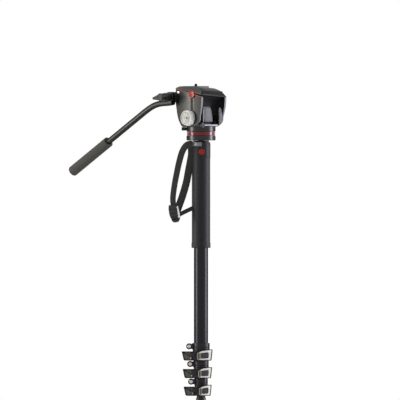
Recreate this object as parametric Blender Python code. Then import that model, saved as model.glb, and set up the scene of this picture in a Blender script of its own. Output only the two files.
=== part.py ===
"""A four-section video monopod: a three-legged fluid base, flip-lever clamps, a hand grip with a
strap, and a two-way fluid head with a pan bar. Metres, +Z up, the origin on the floor under the
pole. The levers face -Y, and the head is panned 45 degrees towards the same side."""

from math import acos, asin, atan2, cos, hypot, pi, radians, sin, sqrt

import bmesh
import bpy
from mathutils import Matrix, Vector

MM = 0.001

# Clearances and cutting
GAP = 0.3 * MM
OVERRUN = 2.0 * MM
WELD = 0.01 * MM
EASE = 0.8 * MM

# Facets of round shapes
WIDE_STEPS = 32
ROUND_STEPS = 24
SMALL_STEPS = 16
TINY_STEPS = 12

# Telescoping tubes, from the upper one down
TUBE_RADII = (14.6 * MM, 12.6 * MM, 10.7 * MM, 8.8 * MM)
TUBE_WALL = 1.2 * MM
UPPER_TUBE_TOP = 664.0 * MM
INNER_TUBE_TOP = 650.0 * MM
INNER_TOP_STEP = 2.0 * MM
BUSH_HEIGHT = 7.0 * MM

# Clamps, hung below one another on the tubes
COUPLING_TOP = 138.0 * MM
COUPLING_CLEARANCE = 3.7 * MM
CLAMP_PITCH = 36.3 * MM
CLAMP_TOP = COUPLING_TOP + COUPLING_CLEARANCE + 3 * CLAMP_PITCH
CLAMP_WALL = 3.3 * MM
CLAMP_STEP = 0.8 * MM
BAND_HEIGHT = 13.4 * MM
TUBE_SEAT_DEPTH = 26.0 * MM
BOSS_RADIUS = 6.4 * MM
BOSS_OUT = 6.4 * MM
BOSS_DROP = 6.8 * MM
BOSS_FRONT = 11.0 * MM
BOSS_BACK = 1.0 * MM
BOSS_ROOT = 4.0 * MM
BOSS_NECK = 5.0 * MM
CLAMP_SCREW_RADIUS = 2.3 * MM
CLAMP_SCREW_HEAD_RADIUS = 3.7 * MM
CLAMP_SCREW_HEAD = 2.2 * MM
CLAMP_SCREW_SOCKET = 1.6 * MM
WING_OUT = 21.9 * MM
WING_TOP = 17.1 * MM
WING_THICK = 4.0 * MM
WING_SET_BACK = 4.5 * MM
WING_SLANT = 4.2 * MM
WING_CORNER = 3.0 * MM
LEVER_PIN_RADIUS = 2.1 * MM
LEVER_PIN_OUT = 2.6 * MM
KNUCKLE_RADIUS = 4.0 * MM
KNUCKLE_HEIGHT = 8.2 * MM
KNUCKLE_RELIEF = 0.5 * MM
EAR_TOP = 17.5 * MM
EAR_THICK = 2.8 * MM
EAR_HALF_WIDTH = 3.4 * MM
LEVER_TOP = 12.9 * MM
LEVER_TOP_SLANT = 6.2 * MM
LEVER_ROOT_OUT = 5.2 * MM
LEVER_ROOT_SET_BACK = 2.0 * MM
LEVER_REACH_SHARE = 0.5
LEVER_REACH_PAST = 15.35 * MM
LEVER_END = 1.8 * MM
LEVER_END_THICK = 4.5 * MM
LEVER_FACE_OUT = 7.0 * MM
LEVER_FACE_SET_IN = 8.9 * MM
LEVER_FACE_SLANT = 7.4 * MM
LEVER_CLEARANCE = 0.6 * MM
BEZEL_THICK = 1.1 * MM
BEZEL_MARGIN = 1.3 * MM
BEZEL_RIM = 3.0 * MM

# Hand grip, top cap and strap
GRIP_RADIUS = 19.0 * MM
GRIP_LOW = 446.5 * MM
GRIP_TOP = 664.5 * MM
GRIP_BEAD_RADIUS = 19.7 * MM
GRIP_BEAD_HEIGHT = 10.0 * MM
GRIP_EASE = 1.5 * MM
CAP_FLANGE_RADIUS = 16.5 * MM
CAP_TOP = 667.7 * MM
CAP_PLUG_DEPTH = 5.0 * MM
STUD_RADIUS = 4.7 * MM
STUD_HEIGHT = 10.0 * MM
BRACKET_THICK = 2.6 * MM
BRACKET_HEIGHT = 8.6 * MM
BRACKET_ANGLES = (radians(-141), radians(-86))
STRAP_WIDTH = 13.4 * MM
STRAP_THICK = 2.0 * MM
STRAP_FRONT = 18.0 * MM
STRAP_BACK = 7.0 * MM
TAIL_WIDTH = 8.0 * MM
STRAP_OUTER = (
    (-17.6 * MM, 660.3 * MM),
    (-24.0 * MM, 660.6 * MM),
    (-31.0 * MM, 656.8 * MM),
    (-38.5 * MM, 645.0 * MM),
    (-44.5 * MM, 625.0 * MM),
    (-49.8 * MM, 601.0 * MM),
    (-54.5 * MM, 576.0 * MM),
    (-57.6 * MM, 552.0 * MM),
    (-57.2 * MM, 538.0 * MM),
    (-54.6 * MM, 521.0 * MM),
    (-52.0 * MM, 505.5 * MM),
)
STRAP_RETURN = (
    (-52.0 * MM, 505.5 * MM),
    (-48.5 * MM, 520.0 * MM),
    (-43.3 * MM, 533.3 * MM),
    (-38.4 * MM, 548.0 * MM),
    (-33.8 * MM, 565.0 * MM),
    (-29.5 * MM, 584.0 * MM),
    (-25.8 * MM, 604.0 * MM),
    (-21.6 * MM, 626.0 * MM),
    (-19.4 * MM, 640.0 * MM),
    (-19.9 * MM, 655.0 * MM),
)
STRAP_TAIL = ((-45.0 * MM, 515.0 * MM), (-31.0 * MM, 522.0 * MM), (-12.0 * MM, 531.0 * MM))
BUCKLE_CENTRE = (-54.6 * MM, 521.0 * MM)
BUCKLE_WIDTH = 20.4 * MM
BUCKLE_HEIGHT = 24.0 * MM
BUCKLE_WALL = 2.4 * MM
BUCKLE_LEAN = radians(9)
BUCKLE_SLACK = 0.7 * MM

# Head: pan base
HEAD_YAW = radians(-45)
BASE_DISC_RADIUS = 30.0 * MM
BASE_DISC_LOW = 668.0 * MM
BASE_DISC_THICK = 9.4 * MM
BASE_DISC_TOP = BASE_DISC_LOW + BASE_DISC_THICK
BASE_EDGE = 1.4 * MM
PAN_POST_RADIUS = 12.0 * MM
PAN_POST_RISE = 17.1 * MM
PAN_POST_TOP = BASE_DISC_TOP + PAN_POST_RISE
RING_RADIUS = 29.1 * MM
RING_BORE = 20.0 * MM
RING_THICK = 8.6 * MM
RING_TOP = BASE_DISC_TOP + RING_THICK
RING_EDGE = 0.5 * MM
TURNTABLE_THICK = 11.0 * MM
TURNTABLE_TOP = RING_TOP + TURNTABLE_THICK
PEDESTAL_LENGTH = 46.0 * MM
PEDESTAL_WIDTH = 57.0 * MM
PEDESTAL_THICK = 4.5 * MM
PEDESTAL_TOP = TURNTABLE_TOP + PEDESTAL_THICK
TILT_RISE = 12.5 * MM
TILT_HEIGHT = PEDESTAL_TOP + TILT_RISE
HOUSING_CHAMFER = 3.3 * MM
HOUSING_SHOULDER = 14.0 * MM
HOUSING_BROW = 23.0 * MM
HOUSING_CROWN = 27.0 * MM
HOUSING_LEVELS = (
    (PEDESTAL_TOP - EASE, 20.0 * MM, 12.8 * MM, 16.8 * MM),
    (TILT_HEIGHT + HOUSING_SHOULDER, 20.0 * MM, 12.8 * MM, 12.0 * MM),
    (TILT_HEIGHT + HOUSING_BROW, 14.5 * MM, 11.4 * MM, 9.4 * MM),
    (TILT_HEIGHT + HOUSING_CROWN, 7.0 * MM, 8.6 * MM, 7.2 * MM),
)
KNOB_RADIUS = 3.6 * MM
KNOB_LENGTH = 10.0 * MM
KNOB_REACH = BASE_DISC_RADIUS + KNOB_LENGTH
KNOB_DROP = 5.2 * MM
KNOB_HEIGHT = TURNTABLE_TOP - KNOB_DROP
KNOB_STEM_RADIUS = 2.0 * MM
KNOB_STEM_DEPTH = 6.0 * MM
KNOB_YAW = radians(225)
DRAG_KNOB_RADIUS = 5.6 * MM
DRAG_KNOB_LENGTH = 6.0 * MM
DRAG_KNOB_SIDE = 23.5 * MM
DRAG_STEM_RADIUS = 1.4 * MM
DRAG_STEM_DEPTH = 6.0 * MM

# Head: tilting part, about an axis across the head
PANEL_OUTSIDE = 36.5 * MM
PANEL_THICK = 5.0 * MM
AXLE_RADIUS = 5.0 * MM
PANEL_TAPER_START = 24.0 * MM
PANEL_TAPER = radians(4.2)
PANEL_FRONT_TAPER_START = 6.0 * MM
PANEL_FRONT_TAPER = radians(4.5)
PANEL_REAR = (
    (-37.0 * MM, 28.0 * MM),
    (-33.8 * MM, 17.0 * MM),
    (-31.0 * MM, 3.0 * MM),
    (-27.6 * MM, -6.0 * MM),
    (-21.8 * MM, -13.6 * MM),
    (-12.0 * MM, -17.6 * MM),
)
PANEL_FRONT = (
    (10.0 * MM, -18.4 * MM),
    (18.5 * MM, -16.4 * MM),
    (25.0 * MM, -10.6 * MM),
    (30.2 * MM, 3.0 * MM),
    (35.5 * MM, 19.0 * MM),
    (37.6 * MM, 31.0 * MM),
)
DECK_REAR = -39.0 * MM
DECK_FRONT = 39.0 * MM
DECK_UNDERSIDE = 38.5 * MM
SEAM_REAR = 61.2 * MM
SEAM_FRONT = 42.8 * MM
SEAM_INSET = 1.0 * MM
DECK_TOP = 65.0 * MM
DECK_TOP_REAR = -38.4 * MM
DECK_TOP_FRONT = 14.0 * MM
DECK_TOP_HALF_WIDTH = 24.0 * MM
DECK_BROW = 6.5 * MM
DECK_CHAMFER_FRONT = 34.4 * MM
DECK_CHAMFER_HEIGHT = 56.0 * MM
DECK_CHAMFER_HALF_WIDTH = 29.0 * MM
DECK_CHAMFER_DROP = 2.5 * MM
DECK_TOP_DROP = 3.6 * MM
ROSETTE_PLACE = (-45.0 * MM, 43.0 * MM)
ROSETTE_RADIUS = 11.0 * MM
ROSETTE_INNER = 22.0 * MM
ROSETTE_NOTCH = radians(50)
DIAL_RADIUS = 16.0 * MM
DIAL_SEAT = 33.4 * MM
DIAL_FACE = 45.0 * MM
DIAL_RIM_WIDTH = 3.0 * MM
DIAL_CONE = 0.8 * MM
DIAL_DISH = 1.6 * MM
DIAL_HUB_RADIUS = 3.4 * MM
TILT_LEVER_HUB_RADIUS = 9.0 * MM
TILT_LEVER_REACH = 34.0 * MM
TILT_LEVER_END_RADIUS = 4.5 * MM
TILT_LEVER_THICK = 5.0 * MM
TILT_LEVER_ANGLE = radians(215)

# Head: camera plate
PLATE_REAR = -35.5 * MM
PLATE_LENGTH = 41.0 * MM
PLATE_WIDTH = 36.0 * MM
PLATE_TOP = 66.0 * MM
PLATE_THICK = 6.0 * MM
CAMERA_SCREW_RADIUS = 3.1 * MM
CAMERA_SCREW_UP = 4.8 * MM
CAMERA_SCREW_HEAD_RADIUS = 8.0 * MM
CAMERA_SCREW_HEAD = 2.2 * MM
PLATE_LEVER_PIVOT = (24.0 * MM, 31.0 * MM)
PLATE_LEVER_BOSS_RADIUS = 5.5 * MM
PLATE_LEVER_SEAT = 48.6 * MM
PLATE_LEVER_TOP = 54.6 * MM
PLATE_LEVER_THICK = 3.4 * MM
PLATE_LEVER_END = (4.0 * MM, 40.5 * MM)
PLATE_LEVER_END_RADIUS = 3.0 * MM

# Pan bar
BAR_RADIUS = 6.2 * MM
BAR_PLANE = 43.0 * MM
EYE_THICK = 12.6 * MM
BAR_PATH = (
    (-46.0 * MM, 30.5 * MM),
    (-71.0 * MM, 30.4 * MM),
    (-83.0 * MM, 28.8 * MM),
    (-94.0 * MM, 25.8 * MM),
    (-105.5 * MM, 21.4 * MM),
    (-117.0 * MM, 15.3 * MM),
)
BAR_END_GAP = 2.3 * MM
FOAM_START = (-227.3 * MM, -48.1 * MM)
FOAM_LENGTH = 124.0 * MM
FOAM_RADIUS = 10.9 * MM
FOAM_END = 4.5 * MM
FOAM_EDGE = 0.9 * MM
BAR_SCREW_RADIUS = 4.0 * MM
BAR_SCREW_DEPTH = 8.0 * MM
BARREL_RADIUS = 8.8 * MM
BARREL_LENGTH = 16.2 * MM
WING_HUB_RADIUS = 7.8 * MM
WING_HUB_LENGTH = 9.6 * MM
WING_TIP = (-21.0 * MM, -2.4 * MM)
WING_TIP_RADIUS = 2.6 * MM
WING_WAIST = 1.6 * MM

# Base: ball joint and fluid cartridge
BALL_HEIGHT = 46.0 * MM
BALL_RADIUS = 13.0 * MM
SEAT_THICK = 2.7 * MM
SEAT_POLAR = radians(55)
STEM_RADIUS = 6.5 * MM
SPINDLE_RADIUS = 5.0 * MM
SPINDLE_LENGTH = 34.0 * MM
HUB_UNDERSIDE = 1.0 * MM
HUB_PAD_RADIUS = 11.0 * MM
HUB_RADIUS = 22.0 * MM
HUB_EDGE = 3.0 * MM
CUP_OUTSIDE = 21.5 * MM
RETAINER_HEIGHT = 8.0 * MM
RETAINER_EDGE = 1.8 * MM
LOCK_RING_RADIUS = 14.6 * MM
LOCK_RING_LOW = 66.4 * MM
LOCK_RING_TOP = 73.2 * MM
HOUSING_RADIUS = 21.0 * MM
CARTRIDGE_LOW = 74.0 * MM
CARTRIDGE_TOP = 116.0 * MM
CARTRIDGE_EDGE = 3.0 * MM
COUPLING_RADIUS = 16.0 * MM
COUPLING_NECK = 12.0 * MM
COUPLING_SHOULDER = 8.0 * MM
SOCKET_DEPTH = 12.0 * MM

# Base: legs
LEG_AZIMUTHS = (radians(150), radians(270), radians(30))
LEG_HINGE_OUT = 30.0 * MM
LEG_HINGE_HEIGHT = 14.0 * MM
LEG_WIDTH = 12.0 * MM
LEG_EYE_RADIUS = 5.5 * MM
LEG_LENGTH = 92.0 * MM
LEG_TIP_HEIGHT = 8.0 * MM
LEG_TIP_DROP = 5.2 * MM
PEG_LENGTH = 12.0 * MM
PEG_HEIGHT = 5.0 * MM
PEG_WIDTH = 9.0 * MM
LEG_PIN_RADIUS = 2.5 * MM
LEG_PIN_HEAD_RADIUS = 4.2 * MM
LEG_PIN_HEAD = 1.6 * MM
LEG_EAR_THICK = 4.0 * MM
LEG_EAR_RADIUS = 6.5 * MM
TIP_LENGTH = 18.0 * MM
TIP_WIDTH = 15.0 * MM
TIP_HEIGHT = 13.5 * MM


def clear_scene():
    for thing in list(bpy.data.objects):
        bpy.data.objects.remove(thing)


def material(name, colour, roughness, metallic=0.0):
    paint = bpy.data.materials.new(name)
    paint.use_nodes = True
    shader = paint.node_tree.nodes["Principled BSDF"]
    shader.inputs["Base Color"].default_value = (*colour, 1.0)
    shader.inputs["Roughness"].default_value = roughness
    shader.inputs["Metallic"].default_value = metallic
    paint.diffuse_color = (*colour, 1.0)
    return paint


def frame(name, place=(0, 0, 0), turn=(0, 0, 0), parent=None):
    """An empty that pieces hang on; the moving ones stand on their joint's axis."""
    empty = bpy.data.objects.new(name, None)
    empty.empty_display_size = EASE
    empty.location = place
    empty.rotation_euler = turn
    empty.parent = parent
    bpy.context.collection.objects.link(empty)
    bpy.context.view_layer.update()
    return empty


def piece(name, bm, paint, parent=None, place=(0, 0, 0), turn=(0, 0, 0)):
    mesh = bpy.data.meshes.new(name)
    bm.to_mesh(mesh)
    bm.free()
    mesh.materials.append(paint)
    mesh.shade_smooth()
    mesh.set_sharp_from_angle(angle=radians(35))
    thing = bpy.data.objects.new(name, mesh)
    thing.location = place
    thing.rotation_euler = turn
    thing.parent = parent
    bpy.context.collection.objects.link(thing)
    return thing


def combine(target, others, operation):
    """Joins or cuts with helper objects, which are left out of the model."""
    for other in others:
        other.hide_render = True
        other.display_type = "WIRE"
        step = target.modifiers.new(other.name, "BOOLEAN")
        step.operation = operation
        step.solver = "EXACT"
        step.object = other
    return target


def closed(bm):
    bmesh.ops.remove_doubles(bm, verts=bm.verts, dist=WELD)
    bmesh.ops.recalc_face_normals(bm, faces=bm.faces)
    return bm


def turned(profile, steps=ROUND_STEPS):
    """A shape turned about Z from (radius, height) points, open ones ending on the axis."""
    bm = bmesh.new()
    ring = [bm.verts.new((radius, 0, height)) for radius, height in profile]
    ends = ring[1:] + ring[:1] if profile[0][0] > 0 else ring[1:]
    edges = [bm.edges.new(pair) for pair in zip(ring, ends)]
    bmesh.ops.spin(
        bm, geom=ring + edges, cent=(0, 0, 0), axis=(0, 0, 1), dvec=(0, 0, 0),
        angle=2 * pi, steps=steps, use_merge=True, use_duplicate=False,
    )
    return closed(bm)


def extruded(bm, faces, along):
    grown = bmesh.ops.extrude_face_region(bm, geom=faces, use_keep_orig=True)["geom"]
    tops = [item for item in grown if isinstance(item, bmesh.types.BMVert)]
    bmesh.ops.translate(bm, vec=along, verts=tops)
    return tops


def slab(outline, low, high):
    """An outline in XY, extruded from one height to another."""
    bm = bmesh.new()
    face = bm.faces.new([bm.verts.new((x, y, low)) for x, y in outline])
    extruded(bm, [face], (0, 0, high - low))
    return closed(bm)


def block(length, width, low, high, centre=0.0):
    half_long, half_wide = length / 2, width / 2
    return slab(
        [(centre - half_long, -half_wide), (centre + half_long, -half_wide),
         (centre + half_long, half_wide), (centre - half_long, half_wide)],
        low, high,
    )


def rod(radius, low, high, steps=SMALL_STEPS):
    return turned([(0, low), (radius, low), (radius, high), (0, high)], steps)


def lofted(loops):
    """A closed skin through loops with the same number of points."""
    bm = bmesh.new()
    rings = [[bm.verts.new(point) for point in loop] for loop in loops]
    edges = [[bm.edges.new(pair) for pair in zip(ring, ring[1:] + ring[:1])] for ring in rings]
    for lower, upper in zip(edges, edges[1:]):
        bmesh.ops.bridge_loops(bm, edges=lower + upper)
    bm.faces.new(rings[0])
    bm.faces.new(rings[-1])
    return closed(bm)


def eased(bm, width=EASE, segments=1, sharpest=radians(40)):
    edges = [e for e in bm.edges if e.is_manifold and e.calc_face_angle() > sharpest]
    bmesh.ops.bevel(
        bm, geom=edges, offset=width, affect="EDGES", segments=segments, profile=0.5,
        material=-1, clamp_overlap=True,
    )
    return closed(bm)


def arc(centre, radius, start, end, steps):
    """Points on an arc, its ends included."""
    turns = [start + (end - start) * i / steps for i in range(steps + 1)]
    return [(centre[0] + radius * cos(t), centre[1] + radius * sin(t)) for t in turns]


def sphere_arc(radius, start, end, steps):
    """(radius, height) points on a sphere about the origin, by angle from +Z."""
    turns = [start + (end - start) * i / steps for i in range(steps + 1)]
    return [(radius * sin(t), radius * cos(t)) for t in turns]


def capsule(start, start_radius, end, end_radius, steps=8):
    """The outline of two circles and the straight sides that touch them both."""
    along = atan2(end[1] - start[1], end[0] - start[0])
    lean = acos((start_radius - end_radius) / hypot(end[0] - start[0], end[1] - start[1]))
    near = arc(start, start_radius, along + lean, along + 2 * pi - lean, steps)
    return near + arc(end, end_radius, along - lean, along + lean, steps)


def ribbon(points, width):
    """The outline of a band of even width along a line of points."""
    places = [Vector(point) for point in points]
    sides = ([], [])
    for i, place in enumerate(places):
        run = (places[min(i + 1, len(places) - 1)] - places[max(i - 1, 0)]).normalized()
        across = Vector((-run.y, run.x)) * width / 2
        sides[0].append(tuple(place + across))
        sides[1].append(tuple(place - across))
    return sides[0] + sides[1][::-1]


def standing(outline, back, front):
    """A slab with its outline in XZ, from the distance back to the distance front along -Y."""
    bm = slab(outline, back, front)
    bmesh.ops.transform(bm, matrix=Matrix.Rotation(pi / 2, 4, "X"), verts=bm.verts)
    return bm


def swept(points, radius, steps):
    """A round bar along a line of points in XZ, its rings set square to the bends."""
    places = [Vector((x, 0, z)) for x, z in points]
    bm = bmesh.new()
    ring = bmesh.ops.create_circle(bm, segments=steps, radius=radius, cap_ends=True)["verts"]
    edges = bm.edges[:]
    heading = Vector((0, 0, 1))
    spot = Vector((0, 0, 0))
    for i, place in enumerate(places):
        run = (places[min(i + 1, len(places) - 1)] - places[max(i - 1, 0)]).normalized()
        if i:
            grown = bmesh.ops.extrude_edge_only(bm, edges=edges)["geom"]
            ring = [item for item in grown if isinstance(item, bmesh.types.BMVert)]
            edges = [item for item in grown if isinstance(item, bmesh.types.BMEdge)]
        turn = heading.rotation_difference(run).to_matrix().to_4x4()
        move = Matrix.Translation(place) @ turn @ Matrix.Translation(-spot)
        bmesh.ops.transform(bm, matrix=move, verts=ring)
        heading, spot = run, place
    bmesh.ops.contextual_create(bm, geom=edges)
    return closed(bm)


def seam_height(forward):
    """The height of the seam between deck and panels, which slopes down to the front."""
    share = (forward - DECK_REAR) / (DECK_FRONT - DECK_REAR)
    return SEAM_REAR + (SEAM_FRONT - SEAM_REAR) * share


def tube_bottom(index):
    """The lower end of a tube, seated in its clamp or, for the last, in the coupling."""
    if index == len(TUBE_RADII) - 1:
        return COUPLING_TOP - SOCKET_DEPTH + GAP
    return CLAMP_TOP - index * CLAMP_PITCH - TUBE_SEAT_DEPTH + GAP


def make_tubes(paints):
    names = ("upper_tube", "second_tube", "third_tube", "fourth_tube")
    for i, (name, radius) in enumerate(zip(names, TUBE_RADII)):
        low = tube_bottom(i)
        high = INNER_TUBE_TOP - INNER_TOP_STEP * i if i else UPPER_TUBE_TOP
        bore = radius - TUBE_WALL
        ring = [(bore, high), (radius, high), (radius, low), (bore, low)]
        piece(name, turned(ring), paints["tube"])
        if i:
            outside = TUBE_RADII[i - 1] - TUBE_WALL - GAP
            seat = high + GAP
            bush = [(bore, seat + BUSH_HEIGHT), (outside, seat + BUSH_HEIGHT),
                    (outside, seat), (bore, seat)]
            piece(name.replace("tube", "tube_bush"), turned(bush), paints["nylon"])


def make_collar(number, place, tube, inner_tube, paints):
    """A clamp casting: its ring, the screw boss, the wing and the lever's two ears."""
    radius = tube + CLAMP_WALL
    bottom = -CLAMP_PITCH + GAP
    waist = radius - CLAMP_STEP
    seat, bore = tube + GAP, inner_tube + GAP
    ring = [(seat, 0), (radius - EASE, 0), (radius, -EASE), (radius, -BAND_HEIGHT),
            (waist, -BAND_HEIGHT - CLAMP_STEP), (waist, bottom), (bore, bottom),
            (bore, -TUBE_SEAT_DEPTH), (seat, -TUBE_SEAT_DEPTH)]
    collar = piece(f"clamp_{number}_collar", turned(ring), paints["casting"], place)

    boss = (-(radius + BOSS_OUT), -BOSS_DROP)
    root = -radius + BOSS_ROOT - CLAMP_WALL / 2
    outline = arc(boss, BOSS_RADIUS, radians(70), radians(290), 10)
    outline += [(root, boss[1] - BOSS_NECK), (root, boss[1] + BOSS_NECK)]
    web = piece(f"add_boss_{number}", standing(outline, BOSS_BACK, BOSS_FRONT), paints["casting"], place)

    front = radius - WING_SET_BACK
    back = front - WING_THICK
    left = -(radius + WING_OUT)
    right = -sqrt((radius - CLAMP_WALL / 2) ** 2 - (front - WING_THICK / 2) ** 2)
    outline = [(right, -WING_TOP), (left, -WING_TOP), (left + WING_SLANT, bottom + WING_CORNER),
               (left + WING_SLANT + WING_CORNER, bottom), (right, bottom)]
    wing = piece(f"add_wing_{number}", standing(outline, back, front), paints["casting"], place)

    pin = lever_pin_place(radius)
    inward = Vector((-pin[0], -pin[1])).normalized()
    across = Vector((-inward.y, inward.x)) * EAR_HALF_WIDTH
    wall = inward * (hypot(*pin) - radius + CLAMP_WALL / 2)
    turn = atan2(inward.y, inward.x)
    outline = [tuple(Vector(pin) + wall - across), tuple(Vector(pin) + wall + across)]
    spread = asin(EAR_HALF_WIDTH / KNUCKLE_RADIUS)
    outline += arc(pin, KNUCKLE_RADIUS, turn + spread, turn + 2 * pi - spread, 10)
    ears = [
        piece(f"add_ear_{number}_{i}", slab(outline, low, low + EAR_THICK), paints["casting"], place)
        for i, low in enumerate((-EAR_TOP - EAR_THICK, bottom))
    ]
    combine(collar, [web, wing, *ears], "UNION")

    screw_hole = piece(
        f"cut_screw_{number}",
        rod(CLAMP_SCREW_RADIUS + GAP, BOSS_BACK - OVERRUN, BOSS_FRONT + OVERRUN, TINY_STEPS),
        paints["casting"], place, (boss[0], 0, boss[1]), (pi / 2, 0, 0),
    )
    pin_hole = piece(
        f"cut_pin_{number}",
        rod(LEVER_PIN_RADIUS + GAP, bottom - OVERRUN, -EAR_TOP + OVERRUN, TINY_STEPS),
        paints["casting"], place, (pin[0], pin[1], 0),
    )
    combine(collar, [screw_hole, pin_hole], "DIFFERENCE")

    head = BOSS_FRONT + GAP
    socket = head + CLAMP_SCREW_HEAD - CLAMP_SCREW_SOCKET / 2
    screw = [(0, BOSS_BACK), (CLAMP_SCREW_RADIUS, BOSS_BACK), (CLAMP_SCREW_RADIUS, head),
             (CLAMP_SCREW_HEAD_RADIUS, head), (CLAMP_SCREW_HEAD_RADIUS, head + CLAMP_SCREW_HEAD),
             (CLAMP_SCREW_SOCKET, head + CLAMP_SCREW_HEAD), (CLAMP_SCREW_SOCKET, socket), (0, socket)]
    piece(f"clamp_{number}_screw", turned(screw, TINY_STEPS), paints["steel"], place,
          (boss[0], 0, boss[1]), (pi / 2, 0, 0))


def lever_pin_place(radius):
    """The lever pin stands just in front of the wing."""
    front = radius - WING_SET_BACK
    return (-(radius + LEVER_PIN_OUT), -(front + KNUCKLE_RELIEF + KNUCKLE_RADIUS))


def make_lever(number, place, tube, paints):
    """A clamp lever, round the front of the collar, with its pin and the bezel on its face."""
    radius = tube + CLAMP_WALL
    bottom = -CLAMP_PITCH + GAP
    pin = lever_pin_place(radius)
    hinge = frame(f"lever_{number}_axis", (pin[0], pin[1], 0), parent=place)

    face = -(radius + LEVER_FACE_OUT)
    inner = radius + LEVER_CLEARANCE
    reach = LEVER_REACH_SHARE * radius + LEVER_REACH_PAST
    start = LEVER_FACE_SET_IN - radius
    left = pin[0] + LEVER_ROOT_OUT
    hollow = arc((0, 0), inner, radians(-116), radians(-44), 9)
    outline = [(left, pin[1] - LEVER_ROOT_SET_BACK), *hollow,
               (reach - LEVER_END, face + LEVER_FACE_SLANT + LEVER_END_THICK),
               (reach, face + LEVER_FACE_SLANT), (start, face),
               (left, face + LEVER_ROOT_SET_BACK)]
    outline = [(x - pin[0], y - pin[1]) for x, y in outline]
    paddle = slab(outline, bottom, -LEVER_TOP)
    for vert in paddle.verts:
        if vert.co.z > -CLAMP_PITCH / 2:
            share = (reach - pin[0] - vert.co.x) / (reach - left)
            vert.co.z -= LEVER_TOP_SLANT * share
    lever = piece(f"clamp_{number}_lever", paddle, paints["casting"], hinge)

    low = -EAR_TOP - EAR_THICK - GAP - KNUCKLE_HEIGHT
    far = (left + EASE * 2 - pin[0], (face - pin[1]) / 2)
    knuckle = slab(capsule((0, 0), KNUCKLE_RADIUS, far, KNUCKLE_RADIUS - EASE), low, low + KNUCKLE_HEIGHT)
    root = piece(f"add_knuckle_{number}", knuckle, paints["casting"], hinge)
    combine(lever, [root], "UNION")
    hole = rod(LEVER_PIN_RADIUS + GAP, bottom - OVERRUN, -EAR_TOP + OVERRUN, TINY_STEPS)
    combine(lever, [piece(f"cut_knuckle_{number}", hole, paints["casting"], hinge)], "DIFFERENCE")

    piece(f"clamp_{number}_pin", rod(LEVER_PIN_RADIUS, bottom, -EAR_TOP, TINY_STEPS),
          paints["brass"], hinge)

    run = reach - start
    yaw = atan2(LEVER_FACE_SLANT, run)
    length = hypot(run, LEVER_FACE_SLANT)
    on_face = frame(f"lever_{number}_face", (start - pin[0], face - pin[1], 0),
                    (0, 0, yaw), hinge)
    tall = -LEVER_TOP - BEZEL_MARGIN
    low = bottom + BEZEL_MARGIN
    outline = [(BEZEL_MARGIN * 2, low), (length - BEZEL_MARGIN, low + BEZEL_MARGIN),
               (length - BEZEL_MARGIN, tall), (length / 2, tall - LEVER_TOP_SLANT / 3),
               (BEZEL_MARGIN, tall - LEVER_TOP_SLANT)]
    bm = bmesh.new()
    plate = bm.faces.new([bm.verts.new((x, y, 0)) for x, y in outline])
    bm.normal_update()
    rim = bmesh.ops.inset_region(
        bm, faces=[plate], thickness=BEZEL_RIM, use_boundary=True, use_even_offset=True
    )
    bmesh.ops.delete(bm, geom=[plate], context="FACES_ONLY")
    extruded(bm, rim["faces"], (0, 0, BEZEL_THICK))
    closed(bm)
    piece(f"clamp_{number}_bezel", bm, paints["bezel"], on_face, (0, -GAP, 0), (pi / 2, 0, 0))


def make_clamps(paints):
    for i in range(3):
        place = frame(f"clamp_{i + 1}_place", (0, 0, CLAMP_TOP - i * CLAMP_PITCH))
        make_collar(i + 1, place, TUBE_RADII[i], TUBE_RADII[i + 1], paints)
        make_lever(i + 1, place, TUBE_RADII[i], paints)


def make_grip(paints):
    tube = TUBE_RADII[0]
    bore = tube + GAP
    bead = GRIP_LOW + GRIP_BEAD_HEIGHT
    grip = [(bore, GRIP_TOP), (GRIP_RADIUS - GRIP_EASE, GRIP_TOP), (GRIP_RADIUS, GRIP_TOP - GRIP_EASE),
            (GRIP_RADIUS, bead + GRIP_EASE), (GRIP_BEAD_RADIUS, bead),
            (GRIP_BEAD_RADIUS, GRIP_LOW + GRIP_EASE), (GRIP_BEAD_RADIUS - GRIP_EASE, GRIP_LOW),
            (bore, GRIP_LOW)]
    piece("hand_grip", turned(grip, WIDE_STEPS), paints["rubber"])

    plug = tube - TUBE_WALL - GAP
    flange = GRIP_TOP + GAP
    low = flange - CAP_PLUG_DEPTH
    cap = [(0, low), (plug, low), (plug, flange), (CAP_FLANGE_RADIUS, flange),
           (CAP_FLANGE_RADIUS, CAP_TOP), (STUD_RADIUS, CAP_TOP),
           (STUD_RADIUS, CAP_TOP + STUD_HEIGHT), (0, CAP_TOP + STUD_HEIGHT)]
    piece("top_cap", turned(cap), paints["casting"])

    inner = GRIP_RADIUS + GAP
    outline = arc((0, 0), inner + BRACKET_THICK, *BRACKET_ANGLES, 8)
    outline += arc((0, 0), inner, *BRACKET_ANGLES[::-1], 8)
    piece("strap_bracket", eased(slab(outline, GRIP_TOP - BRACKET_HEIGHT, GRIP_TOP), EASE / 2),
          paints["bracket"])


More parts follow.
